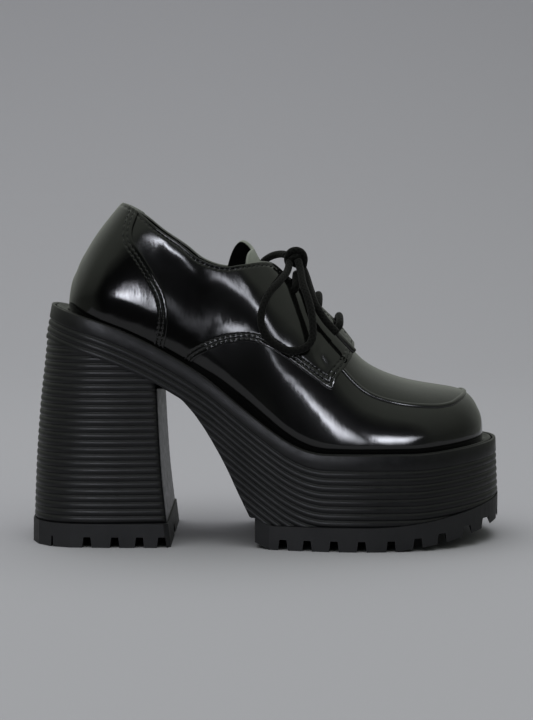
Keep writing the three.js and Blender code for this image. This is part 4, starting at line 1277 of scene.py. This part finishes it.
# Name, middle, width, height, lean, power, pieces
SOFTBOXES = [
    ("counter_box", (-0.055, 0.2), 0.1, 0.26, 0, 3.4, ("counter", "stitching")),
    ("vamp_box", (0.035, 0.225), 0.3, 0.5, 14, 9.5, FRONT_LEATHER),
    ("quarter_box", (-0.128, 0.28), 0.08, 0.26, 0, 1.6, QUARTERS),
    ("waist_box", (0.01, 0.165), 0.13, 0.2, 0, 0.15, QUARTERS),
    ("toe_box", (0.46, 0.235), 0.6, 0.4, 31, 17.5, FRONT_LEATHER),
    ("collar_box", (-0.03, 0.79), 0.13, 0.76, 38, 9.5, QUARTERS),
    ("streak_box", (0.11, 0.57), 0.035, 0.14, 10, 0.3, QUARTERS),
    ("sole_box", (-0.1, 0.5), 0.9, 0.7, 0, 22.0, RUBBER_PIECES),
]


def area(name, location, target, size, power, colour):
    data = bpy.data.lights.new(name, "AREA")
    data.shape = "RECTANGLE"
    data.size, data.size_y = size
    data.energy = power
    data.color = colour
    obj = bpy.data.objects.new(name, data)
    obj.location = location
    obj.rotation_euler = (Vector(target) - Vector(location)).to_track_quat("-Z", "Y").to_euler()
    bpy.context.scene.collection.objects.link(obj)
    return obj


def fade_edges(data):
    """Fades a rectangular light from its middle to its edges."""
    net = Net(data)
    place_on = net.add("SeparateXYZ", {"Vector": net.add("NewGeometry").outputs["Parametric"]}).outputs
    # The parametric output of a light holds 1 - u - v and u
    u = place_on["Y"]
    v = net.math("SUBTRACT", 1.0, net.math("ADD", place_on["X"], u))
    fades = []
    for along in (u, v):
        off = net.math("ABSOLUTE", net.math("ADD", along, -0.5))
        fades.append(net.span(off, 0.5, 0.1, 0.0, 1.0))
    net.set(net.tree.nodes["Emission"], {"Strength": net.times(*fades)})


for name, (x, z), width, height, lean, power, pieces in SOFTBOXES:
    box = area(name, (x, FRONT, z), (x, 0, z), (width, height), power, SOFTBOX_TINT)
    box.rotation_euler.rotate_axis("Z", math.radians(lean))
    box.visible_camera = False
    fade_edges(box.data)
    lit = bpy.data.collections.new(name + "_lit")
    for piece in pieces:
        lit.objects.link(bpy.data.objects[piece])
    box.light_linking.receiver_collection = lit
    for entry in lit.collection_objects:
        entry.light_linking.link_state = "INCLUDE"
top = area("top", (-0.3, 0.1, 2.2), (0, 0.1, 0), (3.2, 3.0), 51, (0.98, 0.985, 1))
top.visible_glossy = False

# The room: olive grey above and behind, dark beyond the camera
world = bpy.data.worlds.new("studio")
bpy.context.scene.world = world
net = Net(world)
way = net.add("SeparateXYZ", {"Vector": net.add("TexCoord").outputs["Generated"]}).outputs
net.set(net.tree.nodes["Background"], {
    "Color": net.ramp(net.math("MULTIPLY_ADD", way["Y"], -0.5, 0.5), [
        (0.25, (0.34, 0.36, 0.325)), (0.5, (0.25, 0.27, 0.235)), (0.675, (0.26, 0.28, 0.245)),
        (0.83, (0.25, 0.27, 0.235)), (0.95, (0.008, 0.008, 0.01))]),
    "Strength": net.span(way["Z"], 0.0, 1.0, 0.55, 2.1),
})

bpy.context.scene.view_settings.view_transform = "Standard"
